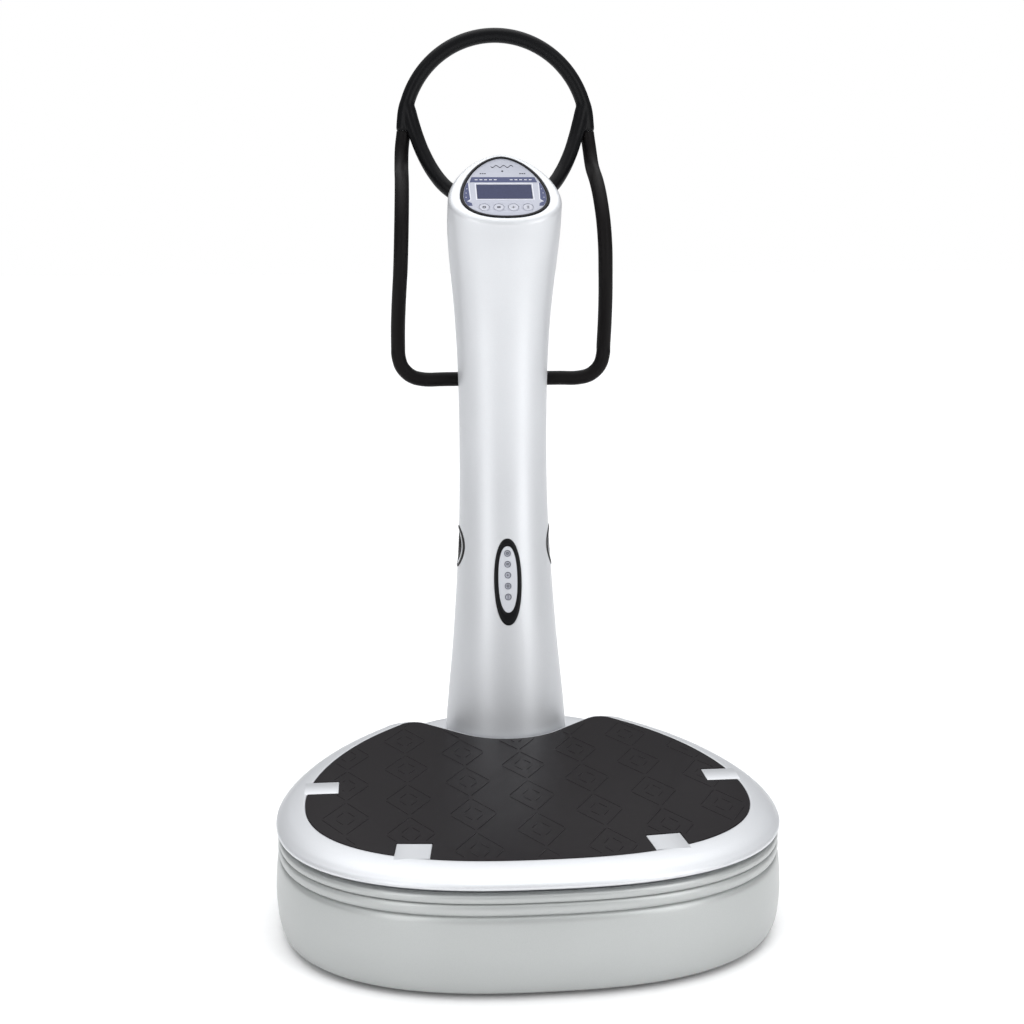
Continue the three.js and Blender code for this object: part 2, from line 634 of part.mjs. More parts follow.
function deckPlate() {
  let sheet = loft([plateBottom, plateTop].map((z) => raised(deckOutline(plateInset, plateNotchInset), z)));
  const bores = [];
  for (const y of Object.values(pivotPlaces)) {
    for (const side of [-1, 1]) {
      const near = pivotBlock.thickness / 2 + pivotLug.gap;
      const a = y + side * near;
      const b = y + side * (near + pivotLug.thickness);
      sheet = join(sheet, block(
        -pivotLug.width / 2, pivotLug.width / 2, Math.min(a, b), Math.max(a, b),
        pivotZ - pivotLug.foot, plateBottom + 1,
      ));
    }
    const boreReach = pivotBlock.thickness / 2 + pivotLug.gap + pivotLug.thickness + 1;
    bores.push(bar('y', pivotPinRadius + clearance, y - boreReach, y + boreReach, [0, pivotZ]));
  }
  for (const side of [-1, 1]) {
    const x = side * eccentric.x;
    for (const wing of [-1, 1]) {
      const a = x + wing * (rodThickness / 2 + rodLug.gap);
      const b = a + wing * rodLug.thickness;
      sheet = join(sheet, block(
        Math.min(a, b), Math.max(a, b), crankY - rodLug.width / 2, crankY + rodLug.width / 2,
        rodPinZ - rodLug.foot, plateBottom + 1,
      ));
    }
    const boreReach = rodThickness / 2 + rodLug.gap + rodLug.thickness + 1;
    bores.push(bar('x', rodPinRadius + clearance, x - boreReach, x + boreReach, [crankY, rodPinZ], 12));
  }
  return cut(sheet, ...bores);
}

// ---------------------------------------------------------------- column and head
// The rings of the column skin, moved outwards by a margin; the lowest can be dropped to open a hollow.
function columnRings(margin, { dropBottom = 0, dropFace = 0 } = {}) {
  return columnSections.map((section, index) => {
    const isFace = index === columnSections.length - 1;
    const isFoot = index === 0;
    const tilt = (section.tilt * Math.PI) / 180;
    const lift = isFace ? -dropFace : 0;
    return eggOutline(section, -margin, 24).map((p) => new THREE.Vector3(
      p.x,
      section.y + p.y * Math.cos(tilt) - lift * Math.sin(tilt),
      section.z + p.y * Math.sin(tilt) + lift * Math.cos(tilt) - (isFoot ? dropBottom : 0),
    ));
  });
}
const columnSkin = (margin, drops) => loft(columnRings(margin, drops));

const headPlacement = new THREE.Matrix4().makeRotationX((headTilt * Math.PI) / 180);
headPlacement.setPosition(0, headSection.y, headSection.z);
const keypadTurn = 90 - keypad.lean;
const keypadPlacement = new THREE.Matrix4().makeRotationX((keypadTurn * Math.PI) / 180);
keypadPlacement.setPosition(0, keypad.y, keypad.z);

function speakerBar(radius, side) {
  const from = side > 0 ? 20 : -150;
  return bar('x', radius, from, from + 130, [speaker.y, speaker.z], 20);
}

function addColumn(handles) {
  const outer = columnSkin(0);
  const inner = columnSkin(-shellWall, { dropBottom: 10, dropFace: faceWall });
  const consoleHole = prism(eggOutline(bezel, -clearance, 28), -20, 20, headPlacement);
  const keypadHole = prism(ovalOutline(keypad, -clearance), -25, 25, keypadPlacement);
  const speakerHoles = [-1, 1].map((side) => speakerBar(speaker.radius + clearance, side));
  const skin = cut(outer, inner, consoleHole, keypadHole, ...speakerHoles, ...handles.clearances);
  const rearRegion = (gap) => prism([
    [seamY + gap, 0], [base.rear + 100, 0], [base.rear + 100, 1200],
    [seamTopY + gap + 40, 1200], [seamTopY + gap, seamTopZ], [seamY + gap, seamBendZ],
  ].map(([y, z]) => new THREE.Vector2(y, z)), -150, 150, acrossX);
  add('column_front_shell', cut(skin, rearRegion(0)), silverPaint);
  add('column_rear_shell', skin.intersect(rearRegion(seamGap)), silverPaint);

  const flangeBottom = footHeight + panThickness + clearance;
  const tube = (shrink, z0, z1) => block(
    -post.halfWidth + shrink, post.halfWidth - shrink,
    postY - post.halfDepth + shrink, postY + post.halfDepth - shrink, z0, z1,
  );
  const flange = block(
    -postFlange.halfWidth, postFlange.halfWidth, postY - postFlange.front, postY + postFlange.rear,
    flangeBottom, flangeBottom + post.flange,
  );
  const lower = block(
    -lowerBracket.halfWidth, lowerBracket.halfWidth,
    postY - post.halfDepth - lowerBracket.margin, postY + post.halfDepth + lowerBracket.margin,
    barZ - lowerBracket.halfHeight, barZ + lowerBracket.halfHeight,
  );
  const upper = block(
    -upperBracket.halfWidth, upperBracket.halfWidth, postY - upperBracket.front, postY + upperBracket.rear,
    post.top - upperBracket.bottom, post.top + upperBracket.top,
  );
  const weldment = join(tube(0, flangeBottom, post.top), flange, lower, upper);
  add('column_post', cut(weldment, tube(post.wall, 0, post.top - 1), ...handles.bores), paintedSteel);

  for (const [name, side] of [['left', -1], ['right', 1]]) {
    const behind = columnSkin(-speaker.depth);
    const ring = cut(columnSkin(speaker.proud), behind).intersect(speakerBar(speaker.radius, side));
    const dish = cut(speakerBar(speaker.radius - speaker.ring, side), columnSkin(-speaker.grilleInset));
    add(`speaker_cover_${name}`, cut(ring, dish), blackPlastic);
  }
}

// A push key with a flange under its panel; z = 0 is the panel's outer face.
function pushKey(radius, proud, panel) {
  const under = -panel - keyGap;
  const profile = [
    [0, under - keyFlange], [radius + 1, under - keyFlange], [radius + 1, under], [radius, under],
    [radius, proud], [0, proud],
  ];
  const geometry = new THREE.LatheGeometry(profile.map(([r, z]) => new THREE.Vector2(r, z)), 12);
  return solid(geometry.rotateX(Math.PI / 2));
}

function addConsole() {
  const head = new THREE.Group();
  head.applyMatrix4(headPlacement);
  plate.add(head);
  const ledge = bezelWidth + bezelLedge;
  const under = -fasciaThickness - clearance;
  const rim = cut(
    prism(eggOutline(bezel, 0, 28), under - 2, bezelProud),
    prism(eggOutline(bezel, bezelWidth, 28), under, bezelProud + 1),
    prism(eggOutline(bezel, ledge, 28), under - 3, bezelProud + 1),
  );
  add('console_bezel', rim, blackPlastic, head);

  const { x, y, halfWidth, halfHeight, thickness } = lcd;
  const window = block(
    x - halfWidth - clearance, x + halfWidth + clearance,
    y - halfHeight - clearance, y + halfHeight + clearance,
    -fasciaThickness - 1, 1,
  );
  const keyXs = [-1.5, -0.5, 0.5, 1.5].map((step) => step * consoleKeys.spacing);
  const keyHoles = keyXs.map((keyX) => bar(
    'z', consoleKeys.radius + keyGap, -fasciaThickness - 1, 1, [keyX, consoleKeys.y], 12,
  ));
  const panel = prism(eggOutline(bezel, bezelWidth + clearance, 28), -fasciaThickness, 0);
  add('console_fascia', cut(panel, window, ...keyHoles), fasciaPlastic, head);
  add('console_lcd', block(
    x - halfWidth, x + halfWidth, y - halfHeight, y + halfHeight, -thickness, -clearance,
  ), displayGlass, head);
  const boardTop = -fasciaThickness - consoleBoardDrop;
  const boardShape = eggOutline(bezel, ledge + 2, 24);
  add('console_board', prism(boardShape, boardTop - boardThickness, boardTop), circuitBoard, head);
  keyXs.forEach((keyX, i) => {
    const shape = pushKey(consoleKeys.radius, consoleKeys.proud, fasciaThickness);
    add(`console_key_${i + 1}`, shape, keyPlastic, head).position.set(keyX, consoleKeys.y, 0);
  });
}

function addKeypad() {
  const band = cut(columnSkin(keypadProud), columnSkin(-keypadDepth));
  const insert = (inset) => prism(
    ovalOutline(keypadInsert, inset).map((p) => p.clone().add(new THREE.Vector2(0, keypadInsert.rise))),
    -40, 25, keypadPlacement,
  );
  const oval = prism(ovalOutline(keypad), -40, 25, keypadPlacement);
  add('keypad_bezel', cut(band.intersect(oval), insert(0)), blackPlastic);
  const panel = cut(columnSkin(keypadPanel.out), columnSkin(-keypadPanel.in)).intersect(insert(clearance));
  const keyYs = Array.from({ length: keypadKeys.count }, (_, i) => keypadKeys.top - i * keypadKeys.spacing);
  const holes = keyYs.map((y) => prism(circle(keypadKeys.radius + keyGap, 12, 0, y), -40, 25, keypadPlacement));
  add('keypad_fascia', cut(panel, ...holes), fasciaPlastic);
  const pad = new THREE.Group();
  pad.applyMatrix4(keypadPlacement);
  plate.add(pad);
  const halfBoard = keypadInsert.halfHeight - keypadBoard.endInset;
  const boardY = keypadInsert.rise;
  add('keypad_board', block(
    -keypadInsert.halfWidth + keypadBoard.inset, keypadInsert.halfWidth - keypadBoard.inset,
    boardY - halfBoard, boardY + halfBoard, -keypadBoardBack - boardThickness, -keypadBoardBack,
  ), circuitBoard, pad);
  keyYs.forEach((y, i) => {
    const shape = pushKey(keypadKeys.radius, keypadKeys.proud, keypadPanel.keyDepth);
    add(`keypad_key_${i + 1}`, shape, keyPlastic, pad).position.set(0, y, keypadPanel.out);
  });
}

function circle(radius, count, x, y) {
  const angles = Array.from({ length: count }, (_, i) => (2 * Math.PI * i) / count);
  return angles.map((a) => new THREE.Vector2(x + radius * Math.cos(a), y + radius * Math.sin(a)));
}

// ---------------------------------------------------------------- handles
// Part of a longer curve, so that a sleeve's sections fall on those of the tube inside it.
class Stretch extends THREE.Curve {
  constructor(whole, from, to) {
    super();
    this.whole = whole;
    this.from = from;
    this.to = to;
  }

  getPoint(t, target = new THREE.Vector3()) {
    return this.whole.getPointAt(this.from + (this.to - this.from) * t, target);
  }

  getPointAt(t, target) {
    return this.getPoint(t, target);
  }

  getTangentAt(t, target = new THREE.Vector3()) {
    return this.whole.getTangentAt(this.from + (this.to - this.from) * t, target);
  }

  getSpacedPoints(steps) {
    return Array.from({ length: steps + 1 }, (_, i) => this.getPoint(i / steps));
  }
}

function sweep(whole, allSteps, fromStep, toStep, radius, sides, hollow = 0) {
  const shape = new THREE.Shape(circle(radius, sides, 0, 0));
  if (hollow) shape.holes.push(new THREE.Path(circle(hollow, 6, 0, 0).reverse()));
  const extrudePath = new Stretch(whole, fromStep / allSteps, toStep / allSteps);
  const steps = Math.round(toStep - fromStep);
  return solid(new THREE.ExtrudeGeometry(shape, { extrudePath, steps, bevelEnabled: false }));
}

// One bent tube: in from the column's left side, round the user's sides, over the top and back.
function loopCurve() {
  const right = [];
  const arcPoints = 7;
  for (let i = 0; i <= arcPoints; i += 1) {
    const angle = (Math.PI / 2) * (1 - i / arcPoints);
    right.push(new THREE.Vector3(ringRadius * Math.cos(angle), ringY, ringZ + ringRadius * Math.sin(angle)));
  }
  // how far each point of the side run lies outside, in front of and below the ring's own side
  const sideRun = [
    [3.5, 4, 27], [5, 24, 55], [5.8, 70, 80], [6.8, 100, 104], [8.5, 128, 143],
    [10, 137, 180], [11.5, 132, 215], [14, 117, 256], [15.8, 98, 300],
  ];
  for (const [out, ahead, down] of sideRun) {
    right.push(new THREE.Vector3(ringRadius + out, ringY - ahead, ringZ - down));
  }
  right.push(new THREE.Vector3(sideX, barY, barZ + cornerRadius + 8));
  const cornerPoints = 3;
  for (let i = 0; i <= cornerPoints; i += 1) {
    const angle = (Math.PI / 2) * (i / cornerPoints);
    const x = sideX - cornerRadius + cornerRadius * Math.cos(angle);
    right.push(new THREE.Vector3(x, barY, barZ + cornerRadius - cornerRadius * Math.sin(angle)));
  }
  right.push(new THREE.Vector3(90, barY, barZ), new THREE.Vector3(tubeEndX, barY, barZ));
  const left = right.slice(1).reverse().map((p) => new THREE.Vector3(-p.x, p.y, p.z));
  return new THREE.CatmullRomCurve3([...left, ...right], false, 'centripetal');
}

// The right half of the lower bow of the ring: from inside the head to beside the loop.
function bowPoints() {
  const inHead = [[0, 0], [28, 7, 2], [56, 25, 10]].map(([x, back, up = 0]) => (
    new THREE.Vector3(x, postY + 15 + back, post.top + 18 + up)
  ));
  const besideLoop = [[63, 50, 88], [44, 35, 64], [29, 22, 35], [20, 12, 11]].map(([into, ahead, down]) => (
    new THREE.Vector3(ringRadius - into, ringY - ahead, ringZ - down)
  ));
  return [...inHead, ...besideLoop];
}

function bowCurve() {
  const right = bowPoints();
  const left = right.slice(1).reverse().map((p) => new THREE.Vector3(-p.x, p.y, p.z));
  return new THREE.CatmullRomCurve3([...left, ...right], false, 'centripetal');
}

function makeHandles() {
  const loop = loopCurve();
  const bow = bowCurve();
  const middle = Math.round(loop.getLength() / (2 * sweepStep));
  const loopSteps = 2 * middle;
  const junctionStep = Math.round((Math.PI / 2) * (ringRadius / sweepStep)); // where the ring's arch ends
  const topGrip = sweep(
    loop, loopSteps, middle - junctionStep, middle + junctionStep, gripRadius, 8, gripInner,
  );
  const pieces = {
    loop_tube: [sweep(loop, loopSteps, 0, loopSteps, tubeRadius, 6), bareSteel],
    top_grip: [topGrip, blackRubber],
    bow_tube: [sweep(bow, bowSteps, 0, bowSteps, tubeRadius, 6), bareSteel],
  };
  const thick = gripRadius + clearance;
  const loopSpace = sweep(loop, loopSteps, 0, loopSteps, thick, 8);
  const bowSpace = sweep(bow, bowSteps, 0, bowSteps, thick, 8);
  const core = sweep(bow, bowSteps, 0, bowSteps, gripInner, 6);
  const span = (side, from, to, steps) => (side > 0 ? [from, to] : [steps - to, steps - from]);
  for (const [name, side] of [['left', -1], ['right', 1]]) {
    const sideSpan = span(side, middle + junctionStep + sleeveGapSteps, loopSteps - gripEndSteps, loopSteps);
    const sideGrip = sweep(loop, loopSteps, ...sideSpan, gripRadius, 8, gripInner);
    pieces[`side_grip_${name}`] = [sideGrip, sleeveRubber];
    const bowSpan = span(side, bowSteps / 2 + bowGripStep, bowSteps, bowSteps);
    const sleeve = sweep(bow, bowSteps, ...bowSpan, gripRadius, 8);
    const [near, end] = bowPoints().slice(-2).map((p) => p.multiply(new THREE.Vector3(side, 1, 1)));
    const meet = new THREE.Vector3(side * (ringRadius - junctionInset), ringY - 3, ringZ + junctionRise);
    const branch = new THREE.CatmullRomCurve3([near.lerp(end, 0.5), end, meet]);
    const around = sweep(branch, 4, 0, 4, junctionRadius, 8);
    pieces[`bow_grip_${name}`] = [cut(join(sleeve, around), loopSpace, core), blackRubber];
  }
  const bore = tubeRadius + clearance;
  const bores = [
    bar('x', bore, tubeEndX - 1, 100, [barY, barZ], 16),
    bar('x', bore, -100, 1 - tubeEndX, [barY, barZ], 16),
    sweep(bow, bowSteps, 0, bowSteps, tubeBore, 8),
  ];
  return { pieces, clearances: [loopSpace, bowSpace], bores };
}

// ---------------------------------------------------------------- assembly
addBase();
addInlet();
addDrive();
addDeck();
const handles = makeHandles();
addColumn(handles);
addConsole();
addKeypad();
for (const [name, [shape, material]] of Object.entries(handles.pieces)) add(name, shape, material);

// the origin is under the middle of the whole machine
const rearmost = Math.max(base.rear + inlet.proud, ringY + gripRadius);
plate.position.y = (base.front - rearmost) / 2;

export default plate;
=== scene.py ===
"""A vibration plate in silver paint, black rubber and a printed console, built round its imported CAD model.

Shapes are worked out in millimetres, with Y measured from the line where the base is widest, and turned
into metres in the row frame when a mesh is made.
"""
import json
import math

import bmesh
import bpy
import numpy as np
from mathutils import Matrix, Vector

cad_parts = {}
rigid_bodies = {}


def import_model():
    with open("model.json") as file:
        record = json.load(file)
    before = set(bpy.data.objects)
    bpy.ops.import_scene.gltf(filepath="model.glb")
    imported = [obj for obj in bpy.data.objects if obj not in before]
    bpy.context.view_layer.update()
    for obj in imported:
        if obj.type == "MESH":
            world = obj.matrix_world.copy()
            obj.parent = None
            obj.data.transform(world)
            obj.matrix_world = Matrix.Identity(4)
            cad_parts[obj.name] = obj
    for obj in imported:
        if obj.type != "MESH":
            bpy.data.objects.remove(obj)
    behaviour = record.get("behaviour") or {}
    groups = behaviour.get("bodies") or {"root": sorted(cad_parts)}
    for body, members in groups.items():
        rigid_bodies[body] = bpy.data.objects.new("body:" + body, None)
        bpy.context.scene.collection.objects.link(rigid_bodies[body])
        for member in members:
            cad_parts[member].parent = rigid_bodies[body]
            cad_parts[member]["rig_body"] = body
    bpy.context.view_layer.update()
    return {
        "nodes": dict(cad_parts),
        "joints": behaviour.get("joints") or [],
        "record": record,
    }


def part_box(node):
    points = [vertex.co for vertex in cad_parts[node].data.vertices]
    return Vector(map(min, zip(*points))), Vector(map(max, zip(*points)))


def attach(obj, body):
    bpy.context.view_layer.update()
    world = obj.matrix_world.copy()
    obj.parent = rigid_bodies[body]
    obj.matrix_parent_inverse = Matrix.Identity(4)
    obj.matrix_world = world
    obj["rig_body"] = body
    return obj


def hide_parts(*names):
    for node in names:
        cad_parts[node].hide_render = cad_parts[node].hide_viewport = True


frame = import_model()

MM = 0.001
joints = {joint["name"]: joint for joint in frame["joints"]}
MID_Y = joints["deck_rock"]["pos_m"][1]  # the base is widest here


# ---- sizes taken from the frame
def corner(node, which):
    """Lowest (0) or highest (1) corner of a CAD node in millimetres, Y from the widest line."""
    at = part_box(node)[which]
    return np.array([at.x, at.y - MID_Y, at.z]) / MM


def low(node):
    return corner(node, 0)


def high(node):
    return corner(node, 1)


def centre(node):
    return (low(node) + high(node)) / 2


def half_span(node):
    return (high(node)[0] - low(node)[0]) / 2


BASE = {
    "half_width": high("lower_housing")[0],
    "front": -low("lower_housing")[1],
    "rear": high("lower_housing")[1],
    "front_power": 2.5,
    "rear_power": 1.75,
}
HOUSING_BOTTOM = low("lower_housing")[2]
HOUSING_TOP = high("lower_housing")[2]
LIP_BOTTOM = low("deck_shell")[2]
RIM_Z = high("deck_shell")[2]
MAT_BOTTOM = low("deck_mat")[2]
MAT_TOP = high("deck_mat")[2]
COVER_TOP = high("rear_cover")[2]
PAN_TOP = high("base_pan")[2]

NOTCH_RADIUS = 98.0  # of the deck's notch round the column
LOBE_RADIUS = 46.0  # of the deck's two rounded tips beside it
MAT_INSET = 41.0
MAT_NOTCH_INSET = 4.4
COVER_GAP = 6.0  # between the deck and the cover behind it
CLEARANCE = 0.4
SIDES = (("left", -1), ("right", 1))

# egg sections of the column, level at its foot and tilted towards the plane of the console
HEAD_TILT = 39.3
SECTION_FIELDS = ("z", "y", "half_width", "front", "rear", "tilt", "front_power", "rear_power")
COLUMN_SECTIONS = [
    (COVER_TOP + CLEARANCE, 332, 96.5, 86, 86, 0, 2.05, 2.05),
    (212, 334, 91, 82, 83, 0, 2.1, 2.1),
    (262, 337, 86, 78, 80, 0, 2.15, 2.15),
    (328, 342, 80, 73, 75, 0, 2.2, 2.2),
    (393, 348, 75.4, 68, 70, 0, 2.2, 2.2),
    (458, 354, 71.5, 63, 66, 0, 2.2, 2.2),
    (560, 362, 68.4, 58, 62, 0, 2.2, 2.2),
    (679, 364, 68.6, 58, 61, 0, 2.2, 2.2),
    (760, 363, 71, 60, 61, 0, 2.2, 2.2),
    (832, 358, 76, 63, 64, 4, 2.2, 2.1),
    (892, 348, 82, 65, 72, 14, 2.2, 1.95),
    (945, 330, 85.5, 63, 90, 27, 2.3, 1.8),
    (986.3, 307, 85, 60, 108, HEAD_TILT, 2.3, 1.72),
]
FOOT_Y = COLUMN_SECTIONS[0][1]
HEAD = dict(zip(SECTION_FIELDS, COLUMN_SECTIONS[-1]))
BEZEL = {"half_width": 66.5, "front": 49, "rear": 96, "front_power": 2.3, "rear_power": 1.72}
BEZEL_WIDTH = 4.0


# ---- curves
def spline(xs, ys):
    """A natural cubic spline through points, as a function."""
    xs = np.asarray(xs, float)
    ys = np.asarray(ys, float)
    count = len(xs)
    gaps = np.diff(xs)
    matrix = np.eye(count)
    right = np.zeros(count)
    for i in range(1, count - 1):
        matrix[i, i - 1:i + 2] = gaps[i - 1], 2 * (gaps[i - 1] + gaps[i]), gaps[i]
        right[i] = 6 * ((ys[i + 1] - ys[i]) / gaps[i] - (ys[i] - ys[i - 1]) / gaps[i - 1])
    bend = np.linalg.solve(matrix, right)

    def value(x):
        i = int(np.clip(np.searchsorted(xs, x) - 1, 0, count - 2))
        a, b, h = xs[i + 1] - x, x - xs[i], gaps[i]
        cubic = (bend[i] * a ** 3 + bend[i + 1] * b ** 3) / (6 * h)
        return cubic + (ys[i] / h - bend[i] * h / 6) * a + (ys[i + 1] / h - bend[i + 1] * h / 6) * b
    return value


def rounded(points, per_span=8):
    """A centripetal Catmull-Rom curve through points of any dimension, as an array of points."""
    p = np.asarray(points, float)
    p = np.vstack([2 * p[0] - p[1], p, 2 * p[-1] - p[-2]])
    out = []
    for i in range(1, len(p) - 2):
        d1, d2, d3 = (max(np.linalg.norm(p[i + k] - p[i + k - 1]), 1e-6) ** 0.5 for k in (0, 1, 2))
        m1 = ((p[i] - p[i - 1]) / d1 - (p[i + 1] - p[i - 1]) / (d1 + d2) + (p[i + 1] - p[i]) / d2) * d2
        m2 = ((p[i + 1] - p[i]) / d2 - (p[i + 2] - p[i]) / (d2 + d3) + (p[i + 2] - p[i + 1]) / d3) * d2
        for t in np.arange(per_span) / per_span:
            a = 2 * t ** 3 - 3 * t ** 2 + 1
            b = t ** 3 - 2 * t ** 2 + t
            c = -2 * t ** 3 + 3 * t ** 2
            d = t ** 3 - t ** 2
            out.append(a * p[i] + b * m1 + c * p[i + 1] + d * m2)
    out.append(p[-2])
    return np.array(out)


def distances(points):
    """Length along a polyline at each of its points."""
    return np.concatenate([[0], np.cumsum(np.linalg.norm(np.diff(points, axis=0), axis=1))])


def at_distances(points, at):
    """Points of a polyline at the given lengths along it."""
    run = distances(points)
    return np.column_stack([np.interp(at, run, points[:, k]) for k in range(points.shape[1])])


def evenly(points, count, start=0.0, end=1.0):
    """Points at even spacing along part of a polyline, from start to end as shares of its length."""
    points = np.asarray(points, float)
    return at_distances(points, np.linspace(start, end, count) * distances(points)[-1])


def full_turn(count):
    """Even angles of a closed ring."""
    return 2 * np.pi * np.arange(count) / count


def signed_power(value, exponent):
    return np.sign(value) * np.abs(value) ** exponent


def egg_xy(egg, angles, inset=0.0):
    """Points of an egg outline: front and rear are superellipses with their own reach and power."""
    angles = np.asarray(angles, float)
    in_front = np.sin(angles) < -1e-12
    reach = np.where(in_front, egg["front"], egg["rear"]) - inset
    exponent = 2 / np.where(in_front, egg["front_power"], egg["rear_power"])
    x = (egg["half_width"] - inset) * signed_power(np.cos(angles), exponent)
    return np.column_stack([x, reach * signed_power(np.sin(angles), exponent)])


def even_angles(egg, count, start=0.0, end=2 * math.pi):
    """Angles whose points on the egg are evenly spaced from start to end, end left out."""
    fine = np.linspace(start, end, 4001)
    run = distances(egg_xy(egg, fine))
    return np.interp(np.arange(count) / count * run[-1], run, fine)


def softened(ring, passes):
    """A closed outline with its sudden changes of curvature eased."""
    for _ in range(passes):
        ring = 0.5 * ring + 0.25 * (np.roll(ring, 1, axis=0) + np.roll(ring, -1, axis=0))
    return ring


def level(xy, z):
    return np.column_stack([xy, np.full(len(xy), float(z))])


BASE_ANGLES = even_angles(BASE, 288)
HALVINGS = 40  # of the span in which the centre of a tip is looked for


def base_ring(z, inset):
    return level(softened(egg_xy(BASE, BASE_ANGLES, inset), 3), z)


def deck_parts(inset, notch_inset):
    """Lobe angle, tip centre, start angle of the tip arc, tip radius and notch radius of the deck outline."""
    radius = NOTCH_RADIUS + notch_inset
    tip = LOBE_RADIUS - inset / 2
    into_deck = np.array([math.sqrt(0.5), -math.sqrt(0.5)])
    along = np.array([math.sqrt(0.5), math.sqrt(0.5)])
    half_width = BASE["half_width"] - inset - tip
    rear = BASE["rear"] - inset - tip
    exponent = BASE["rear_power"]
    start = np.array([0, FOOT_Y]) + into_deck * (radius + tip)
    near, far = 0.0, BASE["rear"]
    for _ in range(HALVINGS):
        middle = (near + far) / 2
        x, y = start + along * middle
        if (x / half_width) ** exponent + (abs(y) / rear) ** exponent > 1:
            far = middle
        else:
            near = middle
    tip_centre = x, y = start + along * near
    lobe_angle = math.atan2((y / rear) ** (exponent / 2), (x / half_width) ** (exponent / 2))
    slope = exponent - 1
    tip_start = math.atan2((y / rear) ** slope / rear, (x / half_width) ** slope / half_width)
    return lobe_angle, tip_centre, tip_start, tip, radius


def deck_outline(inset, notch_inset):
    """The deck seen from above: the base egg with a round notch for the column and two rounded lobes."""
    lobe_angle, tip_centre, tip_start, tip, radius = deck_parts(inset, notch_inset)
    angles = even_angles(BASE, 96, -math.pi / 2, lobe_angle)
    egg = egg_xy(BASE, angles, inset)
    turn = np.linspace(tip_start, 3 * math.pi / 4, 19)
    lobe = tip_centre + tip * np.column_stack([np.cos(turn), np.sin(turn)])
    turn = np.linspace(-math.pi / 4, -math.pi / 2, 19)
    notch = np.array([0, FOOT_Y]) + radius * np.column_stack([np.cos(turn), np.sin(turn)])
    share = np.linspace(0, 1, 8)[1:-1, None]
    flank = lobe[-1] + (notch[0] - lobe[-1]) * share
    right = np.vstack([egg, lobe, flank, notch])
    left = right[1:-1][::-1] * np.array([-1, 1])
    return softened(np.vstack([right, left]), 4)


def deck_ring(z, inset, notch_inset):
    return level(deck_outline(inset, notch_inset), z)


def base_loft(profile, closed=False):
    """A skin through base outlines, from (height, inset) points."""
    return loft([base_ring(z, inset) for z, inset in profile], closed)


def deck_loft(profile):
    """A skin through deck outlines, from (height, inset, inset of the notch) points."""
    return loft([deck_ring(z, inset, notch) for z, inset, notch in profile])


# ---- column surface
SECTION_SPLINES = {
    field: spline([s[0] for s in COLUMN_SECTIONS], [s[k] for s in COLUMN_SECTIONS])
    for k, field in enumerate(SECTION_FIELDS) if k > 0
}
RING_COUNT = 160
COLUMN_ANGLES = even_angles(HEAD, RING_COUNT)
TILT_COS = math.cos(math.radians(HEAD_TILT))
TILT_SIN = math.sin(math.radians(HEAD_TILT))


def column_section(z):
    return {field: value(z) for field, value in SECTION_SPLINES.items()}


def column_ring(z, margin=0.0):
    section = column_section(z)
    xy = softened(egg_xy(section, COLUMN_ANGLES, -margin), 2)
    tilt = math.radians(section["tilt"])
    return np.column_stack([
        xy[:, 0], section["y"] + xy[:, 1] * math.cos(tilt), z + xy[:, 1] * math.sin(tilt),
    ])


def in_head(x, y, lift):
    """Points given in the tilted plane of the console."""
    x, y, lift = np.broadcast_arrays(np.asarray(x, float), y, lift)
    return np.column_stack([
        np.ravel(x), np.ravel(HEAD["y"] + y * TILT_COS - lift * TILT_SIN),
        np.ravel(HEAD["z"] + y * TILT_SIN + lift * TILT_COS),
    ])


def head_ring(egg, inset, lift):
    xy = softened(egg_xy(egg, COLUMN_ANGLES, inset), 2)
    return in_head(xy[:, 0], xy[:, 1], lift)


def front_of_column(x, z, out=0.0):
    """Y of the column's front at a height, moved out by a distance."""
    s = column_section(z)
    share = np.clip(np.abs(x) / (s["half_width"] + out), 0, 1)
    return s["y"] - (s["front"] + out) * (1 - share ** s["front_power"]) ** (1 / s["front_power"])


def side_of_column(y, z, out=0.0):
    """Half width of the column at a place on its side, moved out by a distance."""
    s = column_section(z)
    across = y - s["y"]
    reach = (s["rear"] if across > 0 else s["front"]) + out
    exponent = s["rear_power"] if across > 0 else s["front_power"]
    return (s["half_width"] + out) * (1 - min(1, abs(across) / reach) ** exponent) ** (1 / exponent)


# ---- meshes
def loft(rings, closed=False):
    """Vertices and faces of a skin through rings of equal length, closed to itself or capped at both ends."""
    count = len(rings[0])
    faces = []
    for r in range(len(rings) if closed else len(rings) - 1):
        a, b = r * count, ((r + 1) % len(rings)) * count
        for i in range(count):
            j = (i + 1) % count
            faces.append((a + i, a + j, b + j, b + i))
    if not closed:
        faces.append(tuple(range(count))[::-1])
        faces.append(tuple((len(rings) - 1) * count + i for i in range(count)))
    return np.vstack(rings), faces


def joined(*parts):
    """Several vertex and face lists as one."""
    verts, faces, start = [], [], 0
    for part_verts, part_faces in parts:
        verts.append(np.asarray(part_verts, float))
        faces += [tuple(i + start for i in face) for face in part_faces]
        start += len(part_verts)
    return np.vstack(verts), faces


def add_object(name, data):
    obj = bpy.data.objects.new(name, data)
    bpy.context.scene.collection.objects.link(obj)
    return obj


